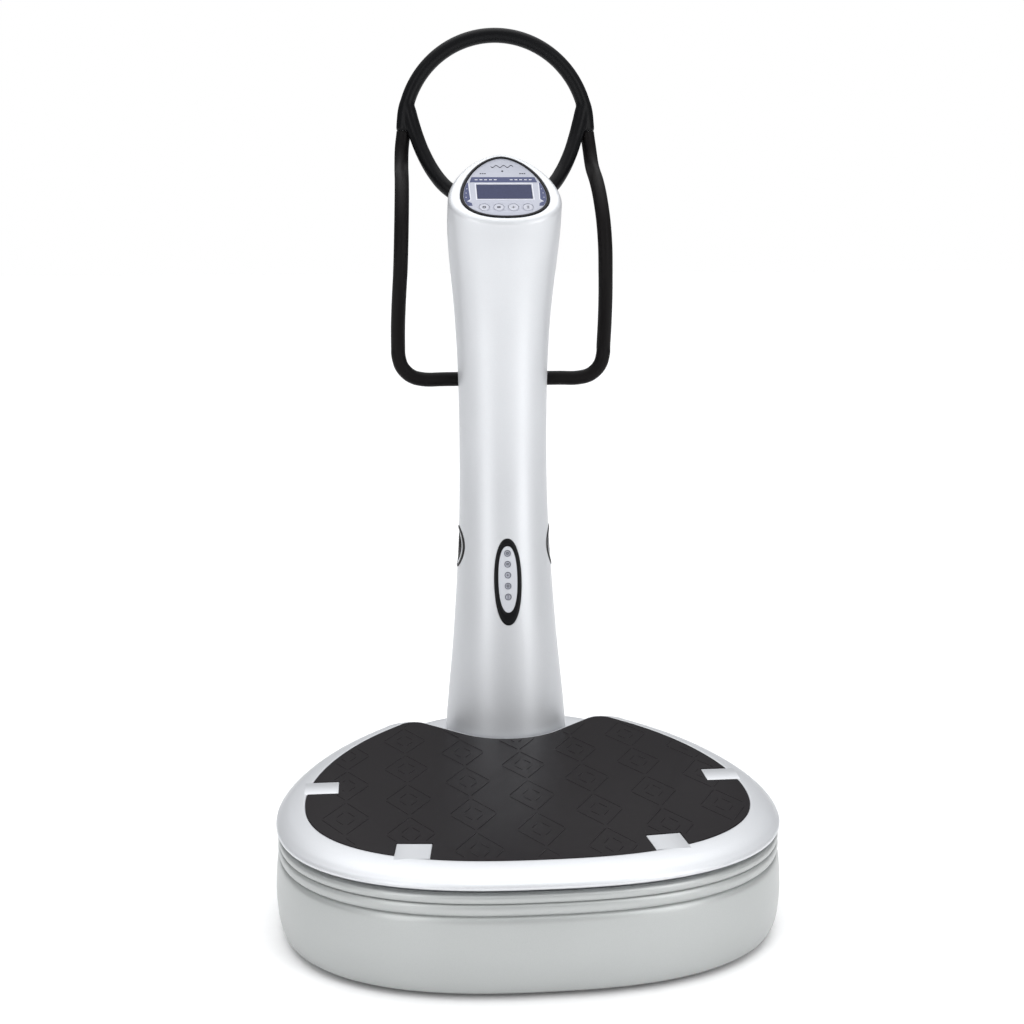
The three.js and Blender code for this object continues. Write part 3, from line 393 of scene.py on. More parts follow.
def make(name, part, look=None, smooth_angle=40):
    """A mesh object from millimetre vertices, with its normals outward."""
    verts, faces = part
    metres = np.asarray(verts, float) * MM + np.array([0, MID_Y, 0])
    mesh = bpy.data.meshes.new(name)
    mesh.from_pydata(metres.tolist(), [], [tuple(int(i) for i in face) for face in faces])
    build = bmesh.new()
    build.from_mesh(mesh)
    bmesh.ops.remove_doubles(build, verts=build.verts, dist=1e-7)
    bmesh.ops.recalc_face_normals(build, faces=build.faces)
    build.to_mesh(mesh)
    build.free()
    obj = add_object(name, mesh)
    if look:
        mesh.materials.append(MATERIALS[look])
    shade(obj, smooth_angle)
    return obj


def shade(obj, angle=40):
    obj.data.polygons.foreach_set("use_smooth", [True] * len(obj.data.polygons))
    obj.data.set_sharp_from_angle(angle=math.radians(angle))


def settle(obj):
    """Applies the object's modifiers to its mesh."""
    bpy.context.view_layer.update()
    seen = obj.evaluated_get(bpy.context.evaluated_depsgraph_get())
    mesh = bpy.data.meshes.new_from_object(seen)
    obj.modifiers.clear()
    old = obj.data
    obj.data = mesh
    bpy.data.meshes.remove(old)


def combine(obj, tool, operation="DIFFERENCE"):
    """Joins, cuts or keeps part of a mesh with another closed mesh, which is used up."""
    modifier = obj.modifiers.new("combine", "BOOLEAN")
    modifier.operation = operation
    modifier.solver = "EXACT"
    modifier.object = tool
    settle(obj)
    bpy.data.objects.remove(tool)


def bevelled(obj, width_mm, segments=2, angle=40):
    modifier = obj.modifiers.new("bevel", "BEVEL")
    modifier.width = width_mm * MM
    modifier.segments = segments
    modifier.limit_method = "ANGLE"
    modifier.angle_limit = math.radians(angle)
    settle(obj)
    shade(obj, angle)


def finish_piece(obj, body, slot, *nodes):
    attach(obj, body)
    if nodes:
        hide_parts(*nodes)
    return obj


def piece(name, part, slot, *nodes, body="frame", look=None, angle=40):
    """A mesh in the look of its slot, or another look, that rides a body and stands for CAD nodes."""
    return finish_piece(make(name, part, look or slot, angle), body, slot, *nodes)


def tube(path, radii, sides=24):
    """Rings of a round tube along a path, with one radius for each point."""
    path = np.asarray(path, float)
    ahead = np.gradient(path, axis=0)
    ahead /= np.linalg.norm(ahead, axis=1)[:, None]
    side = np.cross(ahead[0], [0, 1, 0.2])
    side /= np.linalg.norm(side)
    across, up = np.cos(full_turn(sides))[:, None], np.sin(full_turn(sides))[:, None]
    rings = []
    for point, direction, radius in zip(path, ahead, radii):
        side = side - direction * side.dot(direction)
        side /= np.linalg.norm(side)
        rings.append(point + radius * (across * side + up * np.cross(direction, side)))
    return rings


def turned(profile, sides, place):
    """A body of revolution from (radius, height) points that start and end on its axis."""
    across, up = np.cos(full_turn(sides)), np.sin(full_turn(sides))
    rings = []
    for radius, height in profile:
        reach = max(radius, 0.01)
        rings.append(place(reach * across, reach * up, np.full(sides, float(height))))
    return loft(rings)


# ---- materials
def shader_node(tree, kind, values=(), links=(), operation=None):
    """A new node with numbers set and outputs of other nodes linked, both as (socket, value) pairs."""
    node = tree.nodes.new(kind)
    if operation:
        node.operation = operation
    for socket, value in values:
        node.inputs[socket].default_value = value
    for socket, output in links:
        tree.links.new(output, node.inputs[socket])
    return node


CLOUD_SCALE = 7.0  # of the slow change of tone
CLOUD_SHARE = 0.35  # of it, beside the fine grain
TONE_RANGE = (0.32, 0.68)
COAT_ROUGHNESS = 0.12


def material(name, colour, roughness, metallic, grain, spread, bump, depth, specular=0.5, coat=0.0,
             rough_spread=0.05):
    """A surface with fine grain in its colour, gloss and height, and a broad slow change of tone."""
    mat = bpy.data.materials.new(name)
    mat.use_nodes = True
    tree = mat.node_tree
    shader = tree.nodes["Principled BSDF"]
    shader.inputs["Metallic"].default_value = metallic
    shader.inputs["Coat Weight"].default_value = coat
    shader.inputs["Coat Roughness"].default_value = COAT_ROUGHNESS
    shader.inputs["Specular IOR Level"].default_value = specular
    coords = shader_node(tree, "ShaderNodeTexCoord").outputs["Object"]
    fine, broad = [
        shader_node(tree, "ShaderNodeTexNoise", (("Scale", scale), ("Detail", detail)),
                    (("Vector", coords),)).outputs["Fac"]
        for scale, detail in ((grain, 2.0), (CLOUD_SCALE, 1.0))
    ]
    share = shader_node(tree, "ShaderNodeMath", ((1, CLOUD_SHARE),), ((0, broad),), "MULTIPLY")
    tone = shader_node(tree, "ShaderNodeMath", ((1, 1 - CLOUD_SHARE),), ((0, fine), (2, share.outputs[0])),
                       "MULTIPLY_ADD").outputs[0]
    ramp = shader_node(tree, "ShaderNodeValToRGB", (), (("Fac", tone),))
    for stop, position, sign in zip(ramp.color_ramp.elements, TONE_RANGE, (-1, 1)):
        stop.position = position
        stop.color = (*[min(1, c * (1 + sign * spread)) for c in colour], 1)
    gloss = shader_node(tree, "ShaderNodeMapRange", (
        ("To Min", max(0.02, roughness - rough_spread)), ("To Max", roughness + rough_spread),
    ), (("Value", tone),))
    height = shader_node(tree, "ShaderNodeBump", (("Strength", bump), ("Distance", depth * MM)),
                         (("Height", fine),))
    tree.links.new(ramp.outputs["Color"], shader.inputs["Base Color"])
    tree.links.new(gloss.outputs["Result"], shader.inputs["Roughness"])
    tree.links.new(height.outputs["Normal"], shader.inputs["Normal"])
    return mat


# colour, roughness, metallic, scale of the grain, spread of colour, strength of the bump and its depth in
# millimetres, and where they differ from the usual: specular level, coat, spread of roughness
LOOKS = {
    "silver_paint": ((0.595, 0.607, 0.627), 0.46, 0.48, 1600, 0.05, 0.12, 0.06, 0.5, 0.06),
    "skirt_paint": ((0.395, 0.408, 0.404), 0.42, 0.45, 1400, 0.06, 0.15, 0.08, 0.5, 0.1),
    "mat_rubber": ((0.0052, 0.0036, 0.0047), 0.40, 0, 1100, 0.16, 0.35, 0.2, 0.13),
    "foot_rubber": ((0.022, 0.022, 0.024), 0.8, 0, 700, 0.2, 0.5, 0.2),
    "belt_rubber": ((0.02, 0.02, 0.02), 0.75, 0, 500, 0.2, 0.6, 0.3),
    "grip_black": ((0.0028, 0.0029, 0.0036), 0.40, 0, 600, 0.12, 0.25, 0.1, 0.12),
    "grip_rubber": ((0.0036, 0.0029, 0.0031), 0.52, 0, 1300, 0.22, 0.6, 0.2, 0.1),
    "black_plastic": ((0.012, 0.011, 0.012), 0.45, 0, 900, 0.12, 0.4, 0.1, 0.3),
    "black_gloss": ((0.004, 0.004, 0.005), 0.36, 0, 400, 0.1, 0.06, 0.05, 0.14),
    "fascia_silver": ((0.355, 0.367, 0.425), 0.38, 0.2, 1500, 0.05, 0.1, 0.05),
    "display_glass": ((0.032, 0.038, 0.088), 0.3, 0, 300, 0.1, 0.02, 0.02, 0.12, 0, 0.02),
    "key_plastic": ((0.41, 0.42, 0.475), 0.38, 0.1, 900, 0.04, 0.15, 0.06),
    "switch_red": ((0.42, 0.02, 0.02), 0.3, 0, 500, 0.1, 0.1, 0.05),
    "circuit_board": ((0.02, 0.15, 0.055), 0.4, 0, 260, 0.35, 0.3, 0.1),
    "black_steel": ((0.045, 0.047, 0.05), 0.5, 0.6, 800, 0.15, 0.4, 0.1),
    "bare_steel": ((0.55, 0.56, 0.58), 0.3, 1, 500, 0.08, 0.1, 0.05, 0.5, 0, 0.1),
    "cast_iron": ((0.2, 0.21, 0.22), 0.62, 0.8, 420, 0.2, 0.8, 0.3),
    "keypad_panel": ((0.56, 0.575, 0.615), 0.4, 0.1, 1400, 0.04, 0.1, 0.05),
    "print_navy": ((0.062, 0.072, 0.15), 0.34, 0, 1400, 0.1, 0.06, 0.03, 0.15),
    "print_white": ((0.60, 0.61, 0.67), 0.4, 0, 1400, 0.03, 0.06, 0.03),
    "print_dark": ((0.008, 0.009, 0.016), 0.4, 0, 1400, 0.1, 0.06, 0.03, 0.1),
}
MATERIALS = {name: material(name, *look) for name, look in LOOKS.items()}


def node_slot(node):
    return next(s["material_slot"] for s in frame["record"]["subparts"] if s["node"] == node)


def finish_carried_nodes():
    """Every CAD node takes the procedural material of its own slot."""
    for name, node in frame["nodes"].items():
        node.data.materials.clear()
        node.data.materials.append(MATERIALS[node_slot(name)])


# ---- base
SKIRT_WALL = 14.0
GROOVE_INSET = 8.6
LOWER_BEAD = (111.8, 127.2, 4.9)  # its two edges and its swell
UPPER_BEAD = (127.8, 139.6, 4.7)
WINDOW_DEPTH = (20, 10)  # of the inlet's window, in front of the panel and behind it


def bead(z0, z1, swell):
    """Profile points of a rounded bead between two narrow grooves."""
    middle, half = (z0 + z1) / 2, (z1 - z0) / 2
    return [(middle - half * math.cos(angle), GROOVE_INSET - swell * math.sin(angle) ** 0.8)
            for angle in np.linspace(0, np.pi, 17)[1:-1]]


def build_housing():
    profile = [*rounded([
        (HOUSING_BOTTOM, 10.5), (HOUSING_BOTTOM + 2, 8.2), (15, 5.6), (24, 3), (40, 1), (60, 0),
        (82, 0.9), (98, 2.3), (105, 3.6), (109, 5.6), (111.2, GROOVE_INSET),
    ], 5), *bead(*LOWER_BEAD), (127.5, GROOVE_INSET), *bead(*UPPER_BEAD)]
    profile += [(HOUSING_TOP, 9.4), (HOUSING_TOP, SKIRT_WALL), (HOUSING_BOTTOM, SKIRT_WALL)]
    housing = make("lower_housing_shell", base_loft(profile, closed=True), "skirt_paint", 50)
    window_low, window_high = low("power_inlet") - CLEARANCE, high("power_inlet") + CLEARANCE
    window_low[1] -= WINDOW_DEPTH[0]
    window_high[1] += WINDOW_DEPTH[1]
    combine(housing, make("window_cut", box_part(window_low, window_high)))
    shade(housing, 50)
    finish_piece(housing, "frame", "skirt_paint", "lower_housing")


def box_part(lowest, highest):
    (x0, y0, z0), (x1, y1, z1) = lowest, highest
    ring = [(x0, y0), (x1, y0), (x1, y1), (x0, y1)]
    return loft([level(np.array(ring, float), z0), level(np.array(ring, float), z1)])


def build_pan():
    inset = BASE["half_width"] - high("base_pan")[0]
    bottom = low("base_pan")[2]
    profile = [(bottom, inset + 1), (bottom + 1, inset), (PAN_TOP - 1, inset), (PAN_TOP, inset + 1)]
    piece("base_pan_plate", base_loft(profile), "black_steel", "base_pan")


def build_feet():
    for name in ("front_left", "front_right", "rear_left", "rear_right"):
        node = f"foot_{name}"
        radius = half_span(node)
        top = high(node)[2]
        x, y, _ = centre(node)
        profile = [
            (0, 0), (radius * 0.5, 0), (radius * 0.55, 1.2), (radius * 0.6, 0), (radius - 4, 0),
            (radius - 1.4, 0.9), (radius - 0.3, 2.4), (radius, 4), (radius - 1, 8), (radius - 1.8, top - 1),
            (radius - 2.6, top), (0, top),
        ]
        foot = turned(profile, 48, lambda px, py, pz: np.column_stack([px + x, py + y, pz]))
        piece(f"{node}_rubber", foot, "foot_rubber", node, angle=50)


def build_rear_cover():
    bottom = low("rear_cover")[2]
    profile = rounded([
        (bottom, 3.4), (bottom + 0.8, 2.3), (COVER_TOP - 3.4, 2.6), (COVER_TOP - 1.8, 4.8),
        (COVER_TOP - 0.7, 8.5), (COVER_TOP, 15), (COVER_TOP, 22),
    ], 4)
    cover = make("rear_cover_shell", base_loft(profile), "silver_paint")
    deck_space = deck_loft([(z, -COVER_GAP, -COVER_GAP) for z in (bottom - 3, COVER_TOP + 9)])
    combine(cover, make("deck_space", deck_space))
    bevelled(cover, 1.2, 3, 50)
    finish_piece(cover, "frame", "silver_paint", "rear_cover")


# ---- deck
SHELL_BOTTOM = HOUSING_TOP + 6.5
SHOULDER = rounded([
    (SHELL_BOTTOM + 0.7, 2.9, 0.3), (SHELL_BOTTOM + 1.8, 2.2, 0.05), (150.5, 2, 0), (153.4, 3.3, 0.15),
    (156, 6, 0.4), (159.2, 9.6, 0.6), (162, 14, 0.8), (164.6, 19.2, 1.2), (166.5, 25, 1.6),
    (168.2, 31.5, 2.2), (RIM_Z, MAT_INSET - 3, 3.0),
], 4)
CEILING = 160.0
FLOOR_Z = MAT_BOTTOM - CLEARANCE


def build_deck():
    edge = [
        (FLOOR_Z, MAT_INSET, MAT_NOTCH_INSET), (RIM_Z - 0.7, MAT_INSET, MAT_NOTCH_INSET),
        (RIM_Z - 0.2, MAT_INSET - 0.25, MAT_NOTCH_INSET - 0.2),
        (RIM_Z, MAT_INSET - 0.9, MAT_NOTCH_INSET - 0.6),
    ]
    underside = [
        (SHELL_BOTTOM + 0.2, 3.6, 0.9), (SHELL_BOTTOM, 4.6, 1.6), (SHELL_BOTTOM, 18.6, 5.4),
        (SHELL_BOTTOM - 1, 19.5, 6.0), (LIP_BOTTOM + 1.2, 19.5, 6.0), (LIP_BOTTOM, 20.4, 6.9),
        (LIP_BOTTOM, 22.1, 8.6), (LIP_BOTTOM + 1.2, 23, 9.5), (CEILING, 23, 9.5),
    ]
    moulding = deck_loft([*edge, *SHOULDER[::-1], *underside])
    piece("deck_shell_moulding", moulding, "silver_paint", "deck_shell", body="deck", angle=50)


CLIP_WIDTH = 46.0
CLIP_REACH = 45.0
SIDE_CLIP_Y = 46.0
FRONT_CLIP_X = 165.0
FRONT_CLIP_SPLAY = 6.0
CLIP_PROUD = 0.06  # above the rim
CLIP_OVERLAP = 2.4  # past the mat edge, over the rim


def clip_frames():
    """Centre on the mat edge and inward direction of each clip."""
    frames = {}
    for name, side in SIDES:
        half_width = BASE["half_width"] - MAT_INSET
        frames[f"side_{name}"] = (np.array([side * half_width, SIDE_CLIP_Y]), np.array([-side, 0.0]))
        share = FRONT_CLIP_X / half_width
        front = (BASE["front"] - MAT_INSET) * (1 - share ** BASE["front_power"]) ** (1 / BASE["front_power"])
        turn = math.radians(side * FRONT_CLIP_SPLAY)
        frames[f"front_{name}"] = (
            np.array([side * FRONT_CLIP_X, -front]), np.array([-math.sin(turn), math.cos(turn)]),
        )
    return frames


def slot_part(edge, inward):
    """The slot through the mat that a clip lies in."""
    across = np.array([-inward[1], inward[0]])
    half, reach = CLIP_WIDTH / 2 + CLEARANCE, CLIP_REACH + CLEARANCE
    corners = [(-half, -60), (half, -60), (half, reach), (-half, reach)]
    xy = np.array([edge + across * a + inward * b for a, b in corners])
    return loft([level(xy, MAT_BOTTOM - 2), level(xy, MAT_TOP + 9)])


def clip_part(edge, inward):
    """A plate from over the rim to its reach on the mat, flush with the rim and with rounded edges."""
    across = np.array([-inward[1], inward[0]])
    half = CLIP_WIDTH / 2
    flush = RIM_Z + CLIP_PROUD
    outline = [
        (-half, 1.4), (-half + 0.4, 0.5), (-half + 1.3, 0), (half - 1.3, 0), (half - 0.4, 0.5), (half, 1.4),
    ]
    stations = [
        (-CLIP_OVERLAP, 0), (0, 0), (3, 0), (CLIP_REACH - 3, 0), (CLIP_REACH - 1.3, 0),
        (CLIP_REACH - 0.4, 0.5), (CLIP_REACH, 1.4),
    ]
    rings = []
    for along, drop in stations:
        under = MAT_BOTTOM if along >= 0 else RIM_Z - 1.2
        section = [(a, max(under + 0.3, flush - max(fall, drop))) for a, fall in outline]
        section += [(half, under), (-half, under)]
        rings.append(np.array([(*(edge + across * a + inward * along), z) for a, z in section]))
    return loft(rings)


EMBOSS_HALF = np.array([32.0, 58.0])  # half diagonals of a rhombus
EMBOSS_PITCH_X = 85.0
EMBOSS_PITCH_Y = 122.0
EMBOSS_HEIGHT = 0.45
EMBOSS_WIDTH = 1.5
EMBOSS_ROOT = 0.15  # into the mat
EMBOSS_SHIFT = np.array([6.0, -10.0])  # of the whole pattern


def inside(point, outline):
    """Whether a point lies in a closed outline."""
    x, y = point
    x0, y0 = outline[:, 0], outline[:, 1]
    x1, y1 = np.roll(x0, -1), np.roll(y0, -1)
    crosses = (y0 > y) != (y1 > y)
    at = x0 + (y - y0) * (x1 - x0) / np.where(y1 == y0, 1, y1 - y0)
    return bool(np.count_nonzero(crosses & (x < at)) % 2)


def emboss_strip(start, end):
    """A low rounded rib on the mat."""
    start, end = np.asarray(start, float), np.asarray(end, float)
    along = (end - start) / np.linalg.norm(end - start)
    across = np.array([-along[1], along[0]]) * EMBOSS_WIDTH / 2
    section = [(-1, 0), (-0.8, 0.55), (-0.35, 1), (0.35, 1), (0.8, 0.55), (1, 0)]
    rings = []
    for at, tall, wide in ((start, 0.2, 0.6), (start + along, 1, 1), (end - along, 1, 1), (end, 0.2, 0.6)):
        rings.append(np.array([
            (*(at + across * a * wide), MAT_TOP + (EMBOSS_HEIGHT * tall * h if h else -EMBOSS_ROOT))
            for a, h in section
        ]))
    return loft(rings)


def emboss_parts():
    """Rhombuses in staggered columns, each with a broken smaller one inside."""
    limit = deck_outline(MAT_INSET + 7, MAT_NOTCH_INSET + 7)
    clips = clip_frames().values()

    def clear(point):
        if not inside(point, limit):
            return False
        for edge, inward in clips:
            offset = point - edge
            across = abs(offset[0] * inward[1] - offset[1] * inward[0])
            if across < CLIP_WIDTH / 2 + 4 and offset.dot(inward) < CLIP_REACH + 4:
                return False
        return True

    strips = []
    for column in range(-4, 5):
        for row in range(-4, 5):
            stagger = 0.5 if column % 2 else 0
            middle = EMBOSS_SHIFT + [column * EMBOSS_PITCH_X, (row + stagger) * EMBOSS_PITCH_Y]
            for size, gap in ((1.0, 0.05), (0.46, 0.2)):
                corners = [middle + size * EMBOSS_HALF * np.array([math.cos(a), math.sin(a)])
                           for a in np.radians([0, 90, 180, 270])]
                for k in range(4):
                    p, q = corners[k], corners[(k + 1) % 4]
                    p, q = p + (q - p) * gap, q + (p - q) * gap
                    samples = [p + (q - p) * s for s in np.linspace(0, 1, 13)]
                    run = []
                    for sample in [*samples, None]:
                        if sample is not None and clear(sample):
                            run.append(sample)
                            continue
                        if len(run) > 3:
                            strips.append(emboss_strip(run[0], run[-1]))
                        run = []
    return joined(*strips)


def build_mat():
    edge = MAT_INSET + CLEARANCE
    notch = MAT_NOTCH_INSET + CLEARANCE
    profile = [
        (MAT_BOTTOM, 0), (MAT_TOP - 0.9, 0), (MAT_TOP - 0.45, 0.15), (MAT_TOP - 0.12, 0.5), (MAT_TOP, 1.0),
    ]
    rubber = deck_loft([(z, edge + inset, notch + inset) for z, inset in profile])
    mat = make("deck_mat_rubber", rubber, "mat_rubber")
    for at, inward in clip_frames().values():
        combine(mat, make("slot_cut", slot_part(at, inward)))
    shade(mat)
    finish_piece(mat, "deck", "mat_rubber", "deck_mat")
    piece("deck_mat_emboss", emboss_parts(), "mat_rubber", body="deck", angle=60)
    for name, (at, inward) in clip_frames().items():
        plate = clip_part(at, inward)
        piece(f"mat_clip_{name}_plate", plate, "silver_paint", f"mat_clip_{name}", body="deck", angle=30)


# ---- handles
GRIP_RADIUS = 11.4
GRIP_INNER = 9.8
SIDE_THINNER = 0.35  # the side sleeves than the others, in radius
RING_RADIUS = 145.0
RING_Y = 470.0
RING_Z = 1091.0
BAR_Z = 708.0
BAR_Y = 384.0
CORNER_RADIUS = 40.0
SIDE_X = RING_RADIUS + 16
CUFF_Z = 1090.0  # where the top sleeve and its cuff end
CUFF_HEIGHT = 58.0
BOW_FROM_X = 34.0  # inside the column
SLEEVE_STOP = 21.0  # bare end of the loop tube, inside the column
# how far each point of the side run lies outside, in front of and below the ring's own side
SIDE_RUN = [
    (3.5, 4, 27), (5, 24, 55), (5.8, 70, 80), (6.8, 100, 104), (8.5, 128, 143),
    (10, 137, 180), (11.5, 132, 215), (14, 117, 256), (15.8, 98, 300),
]


def mirrored(right):
    """A path across the middle, from its right half, which starts on the middle line."""
    right = np.asarray(right, float)
    left = right[1:][::-1] * np.array([-1, 1, 1])
    return np.vstack([left, right])


def loop_path():
    """The long tube: in from the column's left, up the user's left side, over the top and down the right."""
    turn = np.pi / 2 * (1 - np.arange(8) / 7)
    arc = np.column_stack([
        RING_RADIUS * np.cos(turn), np.full(8, RING_Y), RING_Z + RING_RADIUS * np.sin(turn),
    ])
    run = [(RING_RADIUS + out, RING_Y - ahead, RING_Z - down) for out, ahead, down in SIDE_RUN]
    run.append((SIDE_X, BAR_Y, BAR_Z + CORNER_RADIUS + 8))
    turn = np.pi / 2 * np.arange(4) / 3
    corner = np.column_stack([
        SIDE_X - CORNER_RADIUS + CORNER_RADIUS * np.cos(turn), np.full(4, BAR_Y),
        BAR_Z + CORNER_RADIUS - CORNER_RADIUS * np.sin(turn),
    ])
    return rounded(mirrored([*arc, *run, *corner, (90, BAR_Y, BAR_Z), (37, BAR_Y, BAR_Z)]), 12)


def bow_points():
    """Right half of the lower bow of the ring, from behind the head up to its joint with the loop."""
    return [
        (0, 383, 976), (28, 390, 978), (56, 408, 986), (82, 420, 1003), (101, 435, 1027),
        (116, 448, 1056), (125, 458, 1080), (132.5, 464.5, 1104), (137.5, 468, 1126), (139.5, 469.5, 1137),
    ]


def sleeve(path, radius=GRIP_RADIUS):
    """A sleeve with rounded ends and a bore, along a path of evenly spaced points."""
    ends = [(0, 1.3), (0.35, 0.5), (1.2, 0)]
    length = distances(path)[-1]
    stops = [s for s, _ in ends] + list(np.arange(2.5, length - 2.4, 3.6))
    stops += [length - s for s, _ in ends[::-1]]
    rounding = [cut for _, cut in ends]
    cuts = np.array(rounding + [0] * (len(stops) - 6) + rounding[::-1])
    centre_line = at_distances(path, stops)
    outer = tube(centre_line, radius - cuts, 28)
    inner = tube(centre_line, [GRIP_INNER] * len(stops), 28)
    return loft([*outer, *inner[::-1]], closed=True)


def remeshed(obj, voxel_mm, passes):
    modifier = obj.modifiers.new("remesh", "REMESH")
    modifier.mode = "VOXEL"
    modifier.voxel_size = voxel_mm * MM
    modifier.use_smooth_shade = True
    smooth = obj.modifiers.new("smooth", "CORRECTIVE_SMOOTH")
    smooth.iterations = passes
    smooth.use_only_smooth = True
    settle(obj)


def build_handles():
    loop = evenly(loop_path(), 1600)

    def share_at(z):
        """Where the loop's right side comes down past a height, as a share of its length."""
        return int(np.argmax((loop[:, 0] > 0) & (loop[:, 2] < z))) / (len(loop) - 1)

    cuff_end = share_at(CUFF_Z)
    cuff_start = share_at(CUFF_Z + CUFF_HEIGHT)
    column_end = 1 - SLEEVE_STOP / distances(loop)[-1]
    piece("top_grip_sleeve", sleeve(evenly(loop, 240, 1 - cuff_end, cuff_end)), "grip_black", "top_grip")
    bow = rounded(bow_points(), 12)
    bow = evenly(bow[bow[:, 0] > BOW_FROM_X], 60)
    bow_radii = np.interp(bow[:, 2], [1080, 1100, 1120, 1137], [GRIP_RADIUS, 11.9, 11.6, 9.5])
    swell = np.interp(np.linspace(0, 1, 24), [0, 0.35, 0.96, 1], [-0.6, 0.75, 0.95, 0.4])
    for name, side in SIDES:
        mirror = np.array([side, 1, 1])
        side_path = evenly(loop, 300, cuff_end + 0.0003, column_end) * mirror
        side_sleeve = sleeve(side_path, GRIP_RADIUS - SIDE_THINNER)
        piece(f"side_grip_{name}_sleeve", side_sleeve, "grip_rubber", f"side_grip_{name}")
        branch = make(f"bow_grip_{name}_sleeve", loft(tube(bow * mirror, bow_radii, 28)))
        cuff_path = evenly(loop, 24, cuff_start, cuff_end - 0.0002) * mirror
        combine(branch, make("cuff", loft(tube(cuff_path, GRIP_RADIUS + swell, 28))), "UNION")
        remeshed(branch, 1.3, 12)
        shade(branch, 60)
        branch.data.materials.clear()
        branch.data.materials.append(MATERIALS["grip_black"])
        finish_piece(branch, "frame", "grip_black", f"bow_grip_{name}")


# ---- column
SHELL_WALL = 4.0
FACE_WALL = 5.0
RIM_ROUND = 9.0
SEAM_Y = 352.0
SEAM_TOP_Y = 396.0
SEAM_BEND_Z = 900.0
SEAM_TOP_Z = 1070.0
SEAM_GAP = 0.5
SPEAKER_Y, SPEAKER_Z = centre("speaker_cover_left")[1:]
SPEAKER_RADIUS = (high("speaker_cover_left")[2] - low("speaker_cover_left")[2]) / 2
KEYPAD_Z = 404.0
KEYPAD_LEAN = math.radians(9.85)
KEYPAD_OVAL = (21.0, 67.0, 0.0)  # half width, half height and rise of its middle
KEYPAD_INSERT = (15.0, 51.5, 4.0)


def column_rings():
    """The whole column as one shell: up its outside, over the rim, into the pocket and down inside."""
    foot = COLUMN_SECTIONS[0][0]
    side_top = HEAD["z"] - RIM_ROUND * TILT_COS
    outer = [column_ring(foot, -1.2), column_ring(foot + 0.4, -0.35)]
    outer += [column_ring(z) for z in np.linspace(foot + 1.2, side_top, 120)]
    for turn in np.radians(np.linspace(9, 90, 10)):
        inset = RIM_ROUND * (1 - math.cos(turn))
        outer.append(column_ring(HEAD["z"] - RIM_ROUND * TILT_COS * (1 - math.sin(turn)), -inset))
    hole = head_ring(BEZEL, -CLEARANCE - 1.3, 0)
    for share in (0.33, 0.66):
        outer.append(outer[-1] * (1 - share) + hole * share)
    outer += [
        hole, head_ring(BEZEL, -CLEARANCE - 0.6, -0.25), head_ring(BEZEL, -CLEARANCE - 0.1, -0.8),
        head_ring(BEZEL, -CLEARANCE, -1.5), head_ring(BEZEL, -CLEARANCE, -FACE_WALL),
    ]
    inside_top = side_top - 6
    inner = [column_ring(z, -SHELL_WALL) for z in np.linspace(inside_top, foot, 40)]
    return outer + inner


def oval_xy(oval, inset=0.0, exponent=2.2, count=96):
    half_width, half_height, rise = oval
    x = (half_width - inset) * signed_power(np.cos(full_turn(count)), 2 / exponent)
    y = (half_height - inset) * signed_power(np.sin(full_turn(count)), 2 / exponent)
    return np.column_stack([x, rise + y])


def on_front(uv, out):
    """Points on the column's front, given in the keypad's plane, moved out by a distance."""
    heights = KEYPAD_Z + uv[:, 1] * math.cos(KEYPAD_LEAN)
    return np.array([(u, front_of_column(u, z, out), z) for u, z in zip(uv[:, 0], heights)])


def on_side(side, angles, radius, out):
    """A circle on the column's side round the speaker, moved out by a distance."""
    points = []
    for angle, d in zip(angles, np.broadcast_to(out, len(angles))):
        y = SPEAKER_Y + radius * math.cos(angle)
        z = SPEAKER_Z + radius * math.sin(angle)
        points.append((side * side_of_column(y, z, d), y, z))
    return np.array(points)


def seam_part(gap, is_rear):
    """The space behind or in front of the seam between the two column shells."""
    outline = [
        (SEAM_TOP_Y + gap + 34, 1200), (SEAM_TOP_Y + gap, SEAM_TOP_Z), (SEAM_Y + gap, SEAM_BEND_Z),
        (SEAM_Y + gap, 0),
    ]
    far_y = BASE["rear"] + 100 if is_rear else -BASE["front"]
    outline += [(far_y, 0), (far_y, 1200)]
    return loft([np.array([(x, y, z) for y, z in outline], float) for x in (-150, 150)])


def build_column():
    """One shell, cut out for what passes through it and then parted along its seam."""
    shell = make("column_front_shell_moulding", loft(column_rings(), closed=True), "silver_paint")
    cutters = [loft([on_front(oval_xy(KEYPAD_OVAL, -0.3, count=64), out) for out in (-12, 6)])]
    for side in (-1, 1):
        cutters.append(loft([on_side(side, full_turn(64), SPEAKER_RADIUS + 0.3, out) for out in (-9, 16)]))
        bar = [(side * x, BAR_Y, BAR_Z) for x in (40, 90)]
        cutters.append(loft(tube(bar, [GRIP_RADIUS + 0.3] * 2, 28)))
    bow = evenly(rounded(mirrored(bow_points()[:6]), 12), 90)
    cutters.append(loft(tube(bow, [GRIP_RADIUS + 0.5] * 90)))
    for cutter in cutters:
        combine(shell, make("column_cut", cutter))
    rear = add_object("column_rear_shell_moulding", shell.data.copy())
    combine(shell, make("front_space", seam_part(0, False)), "INTERSECT")
    combine(rear, make("rear_space", seam_part(SEAM_GAP, True)), "INTERSECT")
    for obj, node in ((shell, "column_front_shell"), (rear, "column_rear_shell")):
        bevelled(obj, 0.7, 2, 62)
        shade(obj, 42)
        finish_piece(obj, "frame", "silver_paint", node)


GRILLE_RIBS = 5
